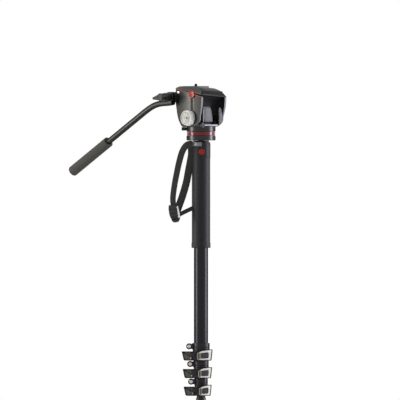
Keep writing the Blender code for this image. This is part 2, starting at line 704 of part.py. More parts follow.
def make_strap(paints):
    """The webbing: one strand in front, looped under the buckle, and one back up to the grip."""
    front = (STRAP_FRONT - STRAP_THICK, STRAP_FRONT)
    back = (STRAP_BACK - STRAP_THICK, STRAP_BACK)
    strap = piece("hand_strap", standing(ribbon(STRAP_OUTER, STRAP_WIDTH), *front), paints["webbing"])
    strand = piece("add_return", standing(ribbon(STRAP_RETURN, STRAP_WIDTH), *back), paints["webbing"])
    tail = standing(ribbon(STRAP_TAIL, TAIL_WIDTH), back[0] + STRAP_THICK / 4, back[1] - STRAP_THICK / 4)
    tail = piece("add_tail", tail, paints["webbing"])

    outside = (front[1] - back[0]) / 2
    middle = (front[1] + back[0]) / 2
    lower = Vector(STRAP_OUTER[-1])
    lean = atan2(STRAP_OUTER[-2][0] - lower.x, STRAP_OUTER[-2][1] - lower.y)
    outline = arc((0, 0), outside, pi, 2 * pi, 10)
    outline += arc((0, 0), outside - STRAP_THICK, 2 * pi, pi, 10)
    loop = slab(outline, -STRAP_WIDTH / 2, STRAP_WIDTH / 2)
    upright = Matrix.Rotation(pi / 2, 4, "Z") @ Matrix.Rotation(pi / 2, 4, "X")
    stand = Matrix.Rotation(lean, 4, "Y") @ upright
    bmesh.ops.transform(loop, matrix=stand, verts=loop.verts)
    loop = piece("add_loop", loop, paints["webbing"], None, (lower.x, -middle, lower.y + WELD * 10))
    combine(strap, [strand, tail, loop], "UNION")
    clear = rod(GRIP_RADIUS + GAP, GRIP_LOW, GRIP_TOP + OVERRUN, WIDE_STEPS)
    combine(strap, [piece("cut_grip", clear, paints["webbing"])], "DIFFERENCE")

    place = frame("buckle_place", (BUCKLE_CENTRE[0], -STRAP_FRONT + STRAP_THICK / 2, BUCKLE_CENTRE[1]),
                  (0, -BUCKLE_LEAN, 0))
    deep = STRAP_THICK + 2 * BUCKLE_SLACK + 2 * BUCKLE_WALL
    body = eased(block(BUCKLE_WIDTH, deep, -BUCKLE_HEIGHT / 2, BUCKLE_HEIGHT / 2), EASE)
    buckle = piece("strap_buckle", body, paints["buckle"], place)
    channel = block(STRAP_WIDTH + 4 * BUCKLE_SLACK, STRAP_THICK + 2 * BUCKLE_SLACK,
                    -BUCKLE_HEIGHT / 2 - OVERRUN, BUCKLE_HEIGHT / 2 + OVERRUN)
    combine(buckle, [piece("cut_buckle", channel, paints["buckle"], place)], "DIFFERENCE")


def housing_loop(height, half_length, near, far):
    """One level of the tilt housing, its upright corners cut off; near is the dial's side."""
    cut = HOUSING_CHAMFER
    return [(half_length, cut - near, height), (half_length - cut, -near, height),
            (cut - half_length, -near, height), (-half_length, cut - near, height),
            (-half_length, far - cut, height), (cut - half_length, far, height),
            (half_length - cut, far, height), (half_length, far - cut, height)]


def make_pan_base(head, paints):
    bore = STUD_RADIUS + GAP
    hole = CAP_TOP + STUD_HEIGHT + GAP
    disc = [(0, hole), (bore, hole), (bore, BASE_DISC_LOW), (BASE_DISC_RADIUS - BASE_EDGE, BASE_DISC_LOW),
            (BASE_DISC_RADIUS, BASE_DISC_LOW + BASE_EDGE), (BASE_DISC_RADIUS, BASE_DISC_TOP - BASE_EDGE),
            (BASE_DISC_RADIUS - BASE_EDGE / 2, BASE_DISC_TOP), (PAN_POST_RADIUS, BASE_DISC_TOP),
            (PAN_POST_RADIUS, PAN_POST_TOP), (0, PAN_POST_TOP)]
    piece("head_base", turned(disc, WIDE_STEPS), paints["casting"])

    low = BASE_DISC_TOP + GAP
    ring = [(RING_BORE, RING_TOP), (RING_RADIUS - RING_EDGE, RING_TOP), (RING_RADIUS, RING_TOP - RING_EDGE),
            (RING_RADIUS, low + RING_EDGE), (RING_RADIUS - RING_EDGE, low), (RING_BORE, low)]
    piece("red_ring", turned(ring, WIDE_STEPS), paints["red"])

    low = RING_TOP + GAP
    socket = PAN_POST_RADIUS + GAP
    roof = PAN_POST_TOP + GAP
    table = [(0, roof), (socket, roof), (socket, low), (BASE_DISC_RADIUS - BASE_EDGE, low),
             (BASE_DISC_RADIUS, low + BASE_EDGE), (BASE_DISC_RADIUS, TURNTABLE_TOP - BASE_EDGE),
             (BASE_DISC_RADIUS - BASE_EDGE, TURNTABLE_TOP), (0, TURNTABLE_TOP)]
    turntable = piece("turntable", turned(table, WIDE_STEPS), paints["casting"], head)

    sink = TURNTABLE_TOP - EASE
    pedestal = eased(block(PEDESTAL_LENGTH, PEDESTAL_WIDTH, sink, PEDESTAL_TOP), EASE * 2)
    pedestal = piece("add_pedestal", pedestal, paints["casting"], head)
    housing = lofted([housing_loop(*level) for level in HOUSING_LEVELS])
    housing = piece("add_housing", housing, paints["casting"], head)
    combine(turntable, [pedestal, housing], "UNION")

    axle = rod(AXLE_RADIUS + GAP, -PEDESTAL_WIDTH, PEDESTAL_WIDTH)
    bore = piece("cut_axle", axle, paints["casting"], head, (0, 0, TILT_HEIGHT), (pi / 2, 0, 0))
    knob_place = frame("pan_lock_axis", (0, 0, KNOB_HEIGHT), (pi / 2, 0, KNOB_YAW + pi / 2), head)
    inner = BASE_DISC_RADIUS - KNOB_STEM_DEPTH
    hole = rod(KNOB_STEM_RADIUS + GAP, inner - GAP, KNOB_REACH, TINY_STEPS)
    hole = piece("cut_pan_lock", hole, paints["casting"], knob_place)
    drag_place = frame("pan_drag_axis", (0, -DRAG_KNOB_SIDE, TURNTABLE_TOP + PEDESTAL_THICK / 2),
                       (0, pi / 2, 0), head)
    front = PEDESTAL_LENGTH / 2
    deep = front - DRAG_STEM_DEPTH
    way = piece("cut_drag", rod(DRAG_STEM_RADIUS + GAP, deep - GAP, front + OVERRUN, TINY_STEPS),
                paints["casting"], drag_place)
    combine(turntable, [bore, hole, way], "DIFFERENCE")

    start = BASE_DISC_RADIUS + GAP
    knob = [(0, inner), (KNOB_STEM_RADIUS, inner), (KNOB_STEM_RADIUS, start), (KNOB_RADIUS, start),
            (KNOB_RADIUS, KNOB_REACH - EASE), (KNOB_RADIUS - EASE, KNOB_REACH), (0, KNOB_REACH)]
    piece("pan_lock_knob", turned(knob, TINY_STEPS), paints["knob"], knob_place)

    near = front + GAP * 2
    far = near + DRAG_KNOB_LENGTH
    drag = [(0, deep), (DRAG_STEM_RADIUS, deep), (DRAG_STEM_RADIUS, near), (DRAG_KNOB_RADIUS, near),
            (DRAG_KNOB_RADIUS, far - EASE), (DRAG_KNOB_RADIUS - EASE, far), (0, far)]
    piece("pan_drag_knob", turned(drag, SMALL_STEPS), paints["knob"], drag_place)


def panel_outline():
    """A side panel seen square on: rounded below, notched round the pan bar's boss."""
    notch = arc(ROSETTE_PLACE, ROSETTE_RADIUS + GAP, ROSETTE_NOTCH, -ROSETTE_NOTCH, 8)
    rear = DECK_REAR + SEAM_INSET
    front = DECK_FRONT - SEAM_INSET
    return [(front, seam_height(front) - GAP), (rear, seam_height(rear) - GAP), *notch,
            *PANEL_REAR, *PANEL_FRONT]


def make_panels(tilt, paints):
    for name, side in (("dial_side_panel", 1), ("lock_side_panel", -1)):
        near, far = sorted((side * PANEL_OUTSIDE, side * (PANEL_OUTSIDE - PANEL_THICK)))
        panel = piece(name, standing(panel_outline(), near, far), paints["panel"], tilt)
        hole = rod(AXLE_RADIUS + GAP, near - OVERRUN, far + OVERRUN)
        hole = piece(f"cut_{name}", hole, paints["panel"], tilt, (0, 0, 0), (pi / 2, 0, 0))
        seat = rod(DIAL_RADIUS + GAP, DIAL_SEAT, PANEL_OUTSIDE + OVERRUN, ROUND_STEPS)
        seat = piece(f"cut_seat_{name}", seat, paints["panel"], tilt, (0, 0, 0), (side * pi / 2, 0, 0))
        lower = block(4 * PANEL_OUTSIDE, 2 * PANEL_OUTSIDE, -2 * PANEL_OUTSIDE, 0)
        bmesh.ops.translate(lower, vec=(0, -side * PANEL_OUTSIDE, 0), verts=lower.verts)
        lower = piece(f"cut_lower_{name}", lower, paints["panel"], tilt,
                      (0, -side * PANEL_OUTSIDE, PANEL_TAPER_START), (side * PANEL_TAPER, 0, 0))
        fore = block(2 * PANEL_OUTSIDE, 2 * PANEL_OUTSIDE, -2 * PANEL_OUTSIDE, 2 * PANEL_OUTSIDE,
                     PANEL_OUTSIDE)
        bmesh.ops.translate(fore, vec=(0, -side * PANEL_OUTSIDE, 0), verts=fore.verts)
        fore = piece(f"cut_fore_{name}", fore, paints["panel"], tilt,
                     (PANEL_FRONT_TAPER_START, -side * PANEL_OUTSIDE, 0), (0, 0, side * PANEL_FRONT_TAPER))
        combine(panel, [hole, seat, lower, fore], "DIFFERENCE")
    axle = rod(AXLE_RADIUS, -DIAL_SEAT, DIAL_SEAT)
    piece("tilt_axle", axle, paints["steel"], tilt, (0, 0, 0), (pi / 2, 0, 0))

    low = DIAL_SEAT + GAP
    rim = DIAL_RADIUS - DIAL_CONE
    step = DIAL_FACE - DIAL_DISH
    dial = [(0, low), (DIAL_RADIUS, low), (DIAL_RADIUS, low + DIAL_RIM_WIDTH), (rim, DIAL_FACE),
            (rim - DIAL_RIM_WIDTH, DIAL_FACE), (rim - DIAL_RIM_WIDTH - DIAL_DISH, step),
            (DIAL_HUB_RADIUS, step), (DIAL_HUB_RADIUS, DIAL_FACE), (0, DIAL_FACE)]
    piece("tilt_dial", turned(dial), paints["silver"], tilt, (0, 0, 0), (pi / 2, 0, 0))

    inner = PANEL_OUTSIDE + GAP
    outer = inner + TILT_LEVER_THICK
    hub = [(0, low), (TILT_LEVER_HUB_RADIUS, low), (TILT_LEVER_HUB_RADIUS, outer - EASE / 2),
           (0, outer - EASE / 2)]
    lever = piece("tilt_lock_lever", turned(hub, SMALL_STEPS), paints["knob"], tilt, (0, 0, 0),
                  (-pi / 2, 0, 0))
    tip = (TILT_LEVER_REACH * cos(TILT_LEVER_ANGLE), TILT_LEVER_REACH * sin(TILT_LEVER_ANGLE))
    outline = capsule((0, 0), TILT_LEVER_HUB_RADIUS - EASE, tip, TILT_LEVER_END_RADIUS)
    arm = piece("add_tilt_lever", eased(standing(outline, -outer, -inner)), paints["knob"], tilt)
    combine(lever, [arm], "UNION")


def deck_loop(rear, front, half_width, heights, drop=0):
    """Four corners of the deck: heights at the rear and the front, and the far front one's drop."""
    return [(rear, -half_width, heights[0]), (front, -half_width, heights[1]),
            (front, half_width, heights[1] - drop), (rear, half_width, heights[0])]


def plate_lever_outline(grown):
    """The camera plate lever from above, about its pivot, a little larger or smaller."""
    end = (PLATE_LEVER_END[0] - PLATE_LEVER_PIVOT[0], PLATE_LEVER_END[1] - PLATE_LEVER_PIVOT[1])
    return capsule((0, 0), PLATE_LEVER_BOSS_RADIUS + grown, end, PLATE_LEVER_END_RADIUS + grown)


def make_deck(tilt, paints):
    """The deck over the side panels: a skirt between them, a seam ledge and a hipped top."""
    inside = PANEL_OUTSIDE - PANEL_THICK - GAP
    rear, front = DECK_REAR + SEAM_INSET, DECK_FRONT - SEAM_INSET
    seams = (seam_height(rear), seam_height(front))
    loops = [
        deck_loop(rear, front, inside, (DECK_UNDERSIDE, DECK_UNDERSIDE)),
        deck_loop(rear, front, inside, seams),
        deck_loop(DECK_REAR, DECK_FRONT, PANEL_OUTSIDE, (SEAM_REAR, SEAM_FRONT)),
        deck_loop(DECK_REAR, DECK_FRONT, PANEL_OUTSIDE, (SEAM_REAR + EASE, SEAM_FRONT + DECK_BROW),
                  DECK_BROW - EASE),
        deck_loop(DECK_TOP_REAR, DECK_CHAMFER_FRONT, DECK_CHAMFER_HALF_WIDTH,
                  (DECK_TOP, DECK_CHAMFER_HEIGHT), DECK_CHAMFER_DROP),
        deck_loop(DECK_TOP_REAR + EASE, DECK_TOP_FRONT, DECK_TOP_HALF_WIDTH,
                  (DECK_TOP + EASE, DECK_TOP), DECK_TOP_DROP),
    ]
    body = lofted(loops)
    bmesh.ops.triangulate(body, faces=body.faces)
    deck = piece("deck", body, paints["deck"], tilt)
    boss = turned([(0, ROSETTE_INNER), (ROSETTE_RADIUS, ROSETTE_INNER),
                   (ROSETTE_RADIUS, PANEL_OUTSIDE), (0, PANEL_OUTSIDE)], SMALL_STEPS + 4)
    bosses = [
        piece(f"add_rosette_{i}", boss.copy(), paints["deck"], tilt,
              (ROSETTE_PLACE[0], 0, ROSETTE_PLACE[1]), (side * pi / 2, 0, 0))
        for i, side in enumerate((1, -1))
    ]
    boss.free()
    combine(deck, bosses, "UNION")

    pocket = block(PLATE_LENGTH + 2 * GAP, PLATE_WIDTH + 2 * GAP, PLATE_TOP - PLATE_THICK - GAP,
                   PLATE_TOP + OVERRUN, PLATE_REAR + PLATE_LENGTH / 2)
    seat = rod(PLATE_LEVER_BOSS_RADIUS + GAP, PLATE_LEVER_SEAT - GAP, PLATE_TOP)
    shelf = slab(plate_lever_outline(GAP), PLATE_LEVER_TOP - PLATE_LEVER_THICK - GAP, PLATE_TOP)
    screw_hole = rod(BAR_SCREW_RADIUS + GAP, PANEL_OUTSIDE - BAR_SCREW_DEPTH - GAP,
                     PANEL_OUTSIDE + OVERRUN, TINY_STEPS)
    combine(deck, [
        piece("cut_pocket", pocket, paints["deck"], tilt),
        piece("cut_lever_seat", seat, paints["deck"], tilt, (*PLATE_LEVER_PIVOT, 0)),
        piece("cut_lever_shelf", shelf, paints["deck"], tilt, (*PLATE_LEVER_PIVOT, 0)),
        piece("cut_bar_screw", screw_hole, paints["deck"], tilt,
              (ROSETTE_PLACE[0], 0, ROSETTE_PLACE[1]), (pi / 2, 0, 0)),
    ], "DIFFERENCE")


def make_plate(tilt, paints):
    middle = PLATE_REAR + PLATE_LENGTH / 2
    low = PLATE_TOP - PLATE_THICK
    body = eased(block(PLATE_LENGTH, PLATE_WIDTH, low, PLATE_TOP, middle))
    plate = piece("camera_plate", body, paints["plate"], tilt)
    recess = low + CAMERA_SCREW_HEAD + 2 * GAP
    holes = turned([(0, low - OVERRUN), (CAMERA_SCREW_HEAD_RADIUS + GAP, low - OVERRUN),
                    (CAMERA_SCREW_HEAD_RADIUS + GAP, recess), (CAMERA_SCREW_RADIUS + GAP, recess),
                    (CAMERA_SCREW_RADIUS + GAP, PLATE_TOP + OVERRUN), (0, PLATE_TOP + OVERRUN)],
                   SMALL_STEPS)
    combine(plate, [piece("cut_screw_way", holes, paints["plate"], tilt, (middle, 0, 0))], "DIFFERENCE")

    head = low + CAMERA_SCREW_HEAD
    top = PLATE_TOP + CAMERA_SCREW_UP
    screw = [(0, low), (CAMERA_SCREW_HEAD_RADIUS, low), (CAMERA_SCREW_HEAD_RADIUS, head),
             (CAMERA_SCREW_RADIUS, head), (CAMERA_SCREW_RADIUS, top - EASE),
             (CAMERA_SCREW_RADIUS - EASE, top), (0, top)]
    piece("camera_screw", turned(screw, SMALL_STEPS), paints["dark_steel"], tilt, (middle, 0, 0))

    pivot = frame("plate_lever_axis", (*PLATE_LEVER_PIVOT, 0), parent=tilt)
    boss = rod(PLATE_LEVER_BOSS_RADIUS, PLATE_LEVER_SEAT, PLATE_LEVER_TOP)
    lever = piece("plate_lever", boss, paints["knob"], pivot)
    outline = plate_lever_outline(-EASE / 2)
    arm = eased(slab(outline, PLATE_LEVER_TOP - PLATE_LEVER_THICK, PLATE_LEVER_TOP + EASE))
    combine(lever, [piece("add_lever_arm", arm, paints["knob"], pivot)], "UNION")


def make_pan_bar(tilt, paints):
    """The bar, on the dial's side, with its eye, foam grip and wing lever."""
    place = frame("pan_bar_axis", (ROSETTE_PLACE[0], 0, ROSETTE_PLACE[1]), parent=tilt)
    near = PANEL_OUTSIDE + GAP
    far = near + EYE_THICK
    start = Vector(FOAM_START)
    run = (start - Vector(BAR_PATH[-1])).normalized()
    tip = start + run * (FOAM_LENGTH - FOAM_END - BAR_END_GAP)
    path = [(x - ROSETTE_PLACE[0], z - ROSETTE_PLACE[1]) for x, z in (*BAR_PATH, tip)]
    bar = piece("pan_bar", swept(path, BAR_RADIUS, SMALL_STEPS), paints["bar"], place, (0, -BAR_PLANE, 0))
    eye = turned([(0, near), (ROSETTE_RADIUS, near), (ROSETTE_RADIUS, far - EASE),
                  (ROSETTE_RADIUS - EASE, far), (0, far)], SMALL_STEPS + 4)
    eye = piece("add_eye", eye, paints["bar"], place, (0, 0, 0), (pi / 2, 0, 0))
    combine(bar, [eye], "UNION")
    hole = rod(BAR_SCREW_RADIUS + GAP, near - OVERRUN, far + OVERRUN, TINY_STEPS)
    combine(bar, [piece("cut_eye", hole, paints["bar"], place, (0, 0, 0), (pi / 2, 0, 0))], "DIFFERENCE")

    pitch = atan2(run.x, run.y)
    foam = [(0, FOAM_LENGTH - FOAM_END), (BAR_RADIUS + GAP, FOAM_LENGTH - FOAM_END),
            (BAR_RADIUS + GAP, 0), (FOAM_RADIUS - FOAM_EDGE, 0), (FOAM_RADIUS, FOAM_EDGE),
            (FOAM_RADIUS, FOAM_LENGTH - FOAM_EDGE * 2), (FOAM_RADIUS - FOAM_EDGE * 2, FOAM_LENGTH),
            (0, FOAM_LENGTH)]
    start -= Vector(ROSETTE_PLACE)
    piece("bar_grip", turned(foam), paints["foam"], place, (start.x, -BAR_PLANE, start.y), (0, pitch, 0))

    base = far + GAP
    hub = base + BARREL_LENGTH
    end = hub + WING_HUB_LENGTH
    stem = [(0, PANEL_OUTSIDE - BAR_SCREW_DEPTH), (BAR_SCREW_RADIUS, PANEL_OUTSIDE - BAR_SCREW_DEPTH),
            (BAR_SCREW_RADIUS, base), (BARREL_RADIUS, base), (BARREL_RADIUS, hub),
            (WING_HUB_RADIUS, hub), (WING_HUB_RADIUS, end - EASE), (WING_HUB_RADIUS - EASE, end), (0, end)]
    lever = piece("wing_lever", turned(stem, SMALL_STEPS + 4), paints["knob"], place, (0, 0, 0),
                  (pi / 2, 0, 0))
    outline = capsule((0, 0), WING_HUB_RADIUS - EASE / 2, WING_TIP, WING_TIP_RADIUS)
    wing = eased(standing(outline, hub + WING_WAIST, end - WING_WAIST))
    combine(lever, [piece("add_wing", wing, paints["knob"], place)], "UNION")


def make_head(paints):
    head = frame("head_pan_axis", (0, 0, 0), (0, 0, HEAD_YAW))
    make_pan_base(head, paints)
    tilt = frame("head_tilt_axis", (0, 0, TILT_HEIGHT), parent=head)
    make_panels(tilt, paints)
    make_deck(tilt, paints)
    make_plate(tilt, paints)
    make_pan_bar(tilt, paints)


def make_ball_joint(paints):
    """The ball under the cartridge, its floating seat ring, and the retainer over the cup."""
    ball = frame("ball_centre", (0, 0, BALL_HEIGHT))
    shell = BALL_RADIUS + GAP
    seat = sphere_arc(shell + SEAT_THICK, SEAT_POLAR, pi - SEAT_POLAR, 6)
    seat += sphere_arc(shell, pi - SEAT_POLAR, SEAT_POLAR, 6)
    piece("seat_ring", turned(seat), paints["nylon"], ball)

    neck = asin(STEM_RADIUS / BALL_RADIUS)
    shoulder = CARTRIDGE_LOW - BALL_HEIGHT - GAP
    tip = shoulder + SPINDLE_LENGTH
    stem = sphere_arc(BALL_RADIUS, pi, neck, 10)
    stem[0] = (0, -BALL_RADIUS)
    stem += [(STEM_RADIUS, shoulder), (SPINDLE_RADIUS, shoulder), (SPINDLE_RADIUS, tip), (0, tip)]
    piece("ball_stem", turned(stem), paints["steel"], ball)

    cup = shell + SEAT_THICK + GAP
    lip = acos(RETAINER_HEIGHT / cup)
    equator = acos(GAP / 2 / cup)
    ring = sphere_arc(cup, equator, lip, 3)
    ring += [(CUP_OUTSIDE - RETAINER_EDGE, RETAINER_HEIGHT),
             (CUP_OUTSIDE, RETAINER_HEIGHT - RETAINER_EDGE), (CUP_OUTSIDE, GAP / 2)]
    piece("ball_retainer", turned(ring), paints["casting"], ball)

    bore = STEM_RADIUS + GAP
    lock = [(bore, LOCK_RING_TOP), (LOCK_RING_RADIUS - EASE, LOCK_RING_TOP),
            (LOCK_RING_RADIUS, LOCK_RING_TOP - EASE), (LOCK_RING_RADIUS, LOCK_RING_LOW + EASE),
            (LOCK_RING_RADIUS - EASE, LOCK_RING_LOW), (bore, LOCK_RING_LOW)]
    piece("tilt_lock_ring", turned(lock), paints["knob"])
    return cup


def make_cartridge(paints):
    bore = SPINDLE_RADIUS + GAP
    roof = CARTRIDGE_LOW - GAP + SPINDLE_LENGTH + GAP
    edge = HOUSING_RADIUS - CARTRIDGE_EDGE
    body = [(0, roof), (bore, roof), (bore, CARTRIDGE_LOW), (edge, CARTRIDGE_LOW),
            (HOUSING_RADIUS, CARTRIDGE_LOW + CARTRIDGE_EDGE),
            (HOUSING_RADIUS, CARTRIDGE_TOP - CARTRIDGE_EDGE), (edge, CARTRIDGE_TOP), (0, CARTRIDGE_TOP)]
    piece("cartridge_housing", turned(body), paints["casting"])

    low = CARTRIDGE_TOP + GAP
    floor = COUPLING_TOP - SOCKET_DEPTH
    socket = TUBE_RADII[-1] + GAP
    body = [(0, low), (COUPLING_RADIUS - EASE, low), (COUPLING_RADIUS, low + EASE),
            (COUPLING_RADIUS, COUPLING_TOP - COUPLING_SHOULDER), (COUPLING_NECK, COUPLING_TOP),
            (socket, COUPLING_TOP), (socket, floor), (0, floor)]
    piece("base_coupling", turned(body), paints["knob"])


def make_hub(cup, axes, paints):
    """The cup for the ball, a pad underneath, and two ears for each leg."""
    rim = BALL_HEIGHT - GAP / 2
    bowl = sphere_arc(cup, pi / 2, pi, 6)
    bowl = [(radius, BALL_HEIGHT + height) for radius, height in bowl]
    bowl[0] = (cup, rim)
    bowl[-1] = (0, BALL_HEIGHT - cup)
    body = [(0, HUB_UNDERSIDE), (HUB_PAD_RADIUS, HUB_UNDERSIDE),
            (HUB_PAD_RADIUS + HUB_EDGE, HUB_UNDERSIDE + HUB_EDGE),
            (HUB_RADIUS, HUB_UNDERSIDE + 2 * HUB_EDGE), (HUB_RADIUS, BALL_HEIGHT / 2 + HUB_EDGE),
            (CUP_OUTSIDE, BALL_HEIGHT / 2 + 2 * HUB_EDGE), (CUP_OUTSIDE, rim), *bowl]
    hub = piece("hub", turned(body), paints["casting"])

    inner = LEG_WIDTH / 2 + GAP
    sink = HUB_RADIUS - LEG_HINGE_OUT - 2 * HUB_EDGE
    outline = [(sink, LEG_EAR_RADIUS), *arc((0, 0), LEG_EAR_RADIUS, pi / 2, -pi / 2, 8),
               (sink, -LEG_EAR_RADIUS)]
    added, holes = [], []
    for i, axis in enumerate(axes):
        for side in (0, 1):
            low = inner if side else -inner - LEG_EAR_THICK
            ear = standing(outline, low, low + LEG_EAR_THICK)
            added.append(piece(f"add_leg_ear_{i}_{side}", ear, paints["casting"], axis))
        wide = inner + LEG_EAR_THICK + OVERRUN
        hole = rod(LEG_PIN_RADIUS + GAP, -wide, wide, TINY_STEPS)
        holes.append(piece(f"cut_leg_pin_{i}", hole, paints["casting"], axis, (0, 0, 0), (pi / 2, 0, 0)))
    combine(hub, added, "UNION")
    combine(hub, holes, "DIFFERENCE")


def leg_axes():
    """A frame on each leg's hinge, its X outwards along the leg."""
    axes = []
    for i, azimuth in enumerate(LEG_AZIMUTHS):
        place = (LEG_HINGE_OUT * cos(azimuth), LEG_HINGE_OUT * sin(azimuth), LEG_HINGE_HEIGHT)
        axes.append(frame(f"leg_{i + 1}_axis", place, (0, 0, azimuth)))
    return axes


def make_legs(axes, paints):
    """Three legs, each a tapered arm with a peg in its rubber tip, on a pin between the ears."""
    wide = LEG_WIDTH / 2 + GAP + LEG_EAR_THICK
    peg = -LEG_TIP_DROP
    outline = arc((0, 0), LEG_EYE_RADIUS, pi / 2, 3 * pi / 2, 8)
    outline += [(LEG_LENGTH, peg - LEG_TIP_HEIGHT / 2), (LEG_LENGTH, peg + LEG_TIP_HEIGHT / 2)]
    for i, axis in enumerate(axes):
        leg = piece(f"leg_{i + 1}", eased(standing(outline, -LEG_WIDTH / 2, LEG_WIDTH / 2)),
                    paints["leg"], axis)
        tongue = block(PEG_LENGTH + EASE, PEG_WIDTH, peg - PEG_HEIGHT / 2, peg + PEG_HEIGHT / 2,
                       LEG_LENGTH + (PEG_LENGTH - EASE) / 2)
        combine(leg, [piece(f"add_peg_{i + 1}", tongue, paints["leg"], axis)], "UNION")
        hole = rod(LEG_PIN_RADIUS + GAP, -LEG_WIDTH, LEG_WIDTH, TINY_STEPS)
        hole = piece(f"cut_leg_eye_{i + 1}", hole, paints["leg"], axis, (0, 0, 0), (pi / 2, 0, 0))
        combine(leg, [hole], "DIFFERENCE")

        head = wide + GAP
        pin = [(0, -wide), (LEG_PIN_RADIUS, -wide), (LEG_PIN_RADIUS, head), (LEG_PIN_HEAD_RADIUS, head),
               (LEG_PIN_HEAD_RADIUS, head + LEG_PIN_HEAD), (0, head + LEG_PIN_HEAD)]
        piece(f"leg_{i + 1}_pin", turned(pin, TINY_STEPS), paints["steel"], axis, (0, 0, 0),
              (pi / 2, 0, 0))

        start = LEG_LENGTH + GAP
        half = TIP_WIDTH / 2
        nose = arc((start + TIP_LENGTH - half, 0), half, -pi / 2, pi / 2, 8)
        plan = [(start, -half), *nose, (start, half)]
        tip = eased(slab(plan, -LEG_HINGE_HEIGHT, TIP_HEIGHT - LEG_HINGE_HEIGHT))
        tip = piece(f"leg_{i + 1}_tip", tip, paints["rubber"], axis)
        pocket = block(PEG_LENGTH + OVERRUN + GAP, PEG_WIDTH + 2 * GAP, peg - PEG_HEIGHT / 2 - GAP,
                       peg + PEG_HEIGHT / 2 + GAP, LEG_LENGTH + (PEG_LENGTH + GAP - OVERRUN) / 2)
        combine(tip, [piece(f"cut_tip_{i + 1}", pocket, paints["rubber"], axis)], "DIFFERENCE")


def main():
    clear_scene()
    paints = {
        "tube": material("tube", (0.012, 0.012, 0.014), 0.22, 0.6),
        "casting": material("casting", (0.02, 0.02, 0.022), 0.45),
        "panel": material("panel", (0.05, 0.048, 0.042), 0.5),
        "deck": material("deck", (0.04, 0.04, 0.04), 0.5),
        "plate": material("plate", (0.035, 0.035, 0.035), 0.4, 0.8),
        "knob": material("knob", (0.015, 0.015, 0.017), 0.5),
        "bar": material("bar", (0.03, 0.03, 0.028), 0.35, 0.7),
        "leg": material("leg", (0.025, 0.025, 0.027), 0.4, 0.6),
        "rubber": material("rubber", (0.018, 0.018, 0.02), 0.75),
        "foam": material("foam", (0.03, 0.03, 0.028), 0.85),
        "webbing": material("webbing", (0.012, 0.012, 0.012), 0.9),
        "buckle": material("buckle", (0.03, 0.03, 0.032), 0.5),
        "bracket": material("bracket", (0.16, 0.16, 0.18), 0.5),
        "red": material("red", (0.4, 0.01, 0.02), 0.3, 0.9),
        "silver": material("silver", (0.6, 0.6, 0.56), 0.3, 0.9),
        "bezel": material("bezel", (0.6, 0.58, 0.5), 0.35, 0.9),
        "steel": material("steel", (0.5, 0.5, 0.5), 0.3, 1.0),
        "dark_steel": material("dark_steel", (0.06, 0.06, 0.06), 0.4, 1.0),
        "brass": material("brass", (0.55, 0.36, 0.2), 0.35, 1.0),
        "nylon": material("nylon", (0.08, 0.08, 0.085), 0.55),
    }
    make_tubes(paints)
    make_clamps(paints)
    make_grip(paints)
    make_strap(paints)
    make_head(paints)
    cup = make_ball_joint(paints)
    make_cartridge(paints)
    axes = leg_axes()
    make_hub(cup, axes, paints)
    make_legs(axes, paints)


main()
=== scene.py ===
"""The looks of a four-section video monopod: every visible piece modelled at its real place on the
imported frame, its finish, and a plain studio around it. Metres, +Z up, the front towards -Y."""

from math import acos, atan2, cos, hypot, pi, radians, sin, tan

import bmesh
import bpy
from mathutils import Matrix, Vector


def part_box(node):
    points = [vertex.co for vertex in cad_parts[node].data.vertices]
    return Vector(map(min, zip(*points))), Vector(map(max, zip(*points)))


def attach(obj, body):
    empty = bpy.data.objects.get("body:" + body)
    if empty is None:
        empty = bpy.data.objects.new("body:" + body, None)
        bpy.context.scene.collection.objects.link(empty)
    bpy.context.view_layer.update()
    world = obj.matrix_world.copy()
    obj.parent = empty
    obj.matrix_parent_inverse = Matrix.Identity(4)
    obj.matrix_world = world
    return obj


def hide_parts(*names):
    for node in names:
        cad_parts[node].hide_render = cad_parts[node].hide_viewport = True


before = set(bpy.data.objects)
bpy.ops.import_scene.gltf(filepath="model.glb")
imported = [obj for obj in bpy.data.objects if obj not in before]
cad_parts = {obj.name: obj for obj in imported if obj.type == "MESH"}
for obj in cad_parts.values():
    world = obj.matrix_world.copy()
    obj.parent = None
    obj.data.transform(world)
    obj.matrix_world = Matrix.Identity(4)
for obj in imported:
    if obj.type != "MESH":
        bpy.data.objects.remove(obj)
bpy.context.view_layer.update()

MM = 0.001

# Facets of round shapes
LATHE_STEPS = 96
SMALL_STEPS = 48
CORNER_STEPS = 5

# Edge roundings, from the finest up
FINE = 0.25 * MM
EASE = 0.5 * MM
TIGHT = 0.7 * MM
ROUND = 1.2 * MM
SOFT = 1.4 * MM
SHARP_FROM = radians(32)
KNURL_FROM = radians(60)

# Places that the whole object shares
HEAD_YAW = radians(-45)
TILT_HEIGHT = 714.0 * MM
HEAD = Matrix.Rotation(HEAD_YAW, 4, "Z")
TILT = HEAD @ Matrix.Translation((0, 0, TILT_HEIGHT))
SIDEWAYS = Matrix.Rotation(pi / 2, 4, "X")
OTHER_WAY = Matrix.Rotation(-pi / 2, 4, "X")


# Shapes

def mm(points):
    """Points written in millimetres, in metres."""
    return [tuple(value * MM for value in point) for point in points]


def at(x, y, z):
    return Matrix.Translation((x, y, z))


def corners(x1, y1, x2, y2):
    """A rectangle's corners; as a lathe's profile a ring, or a rod where x1 is 0."""
    return [(x1, y1), (x2, y1), (x2, y2), (x1, y2)]


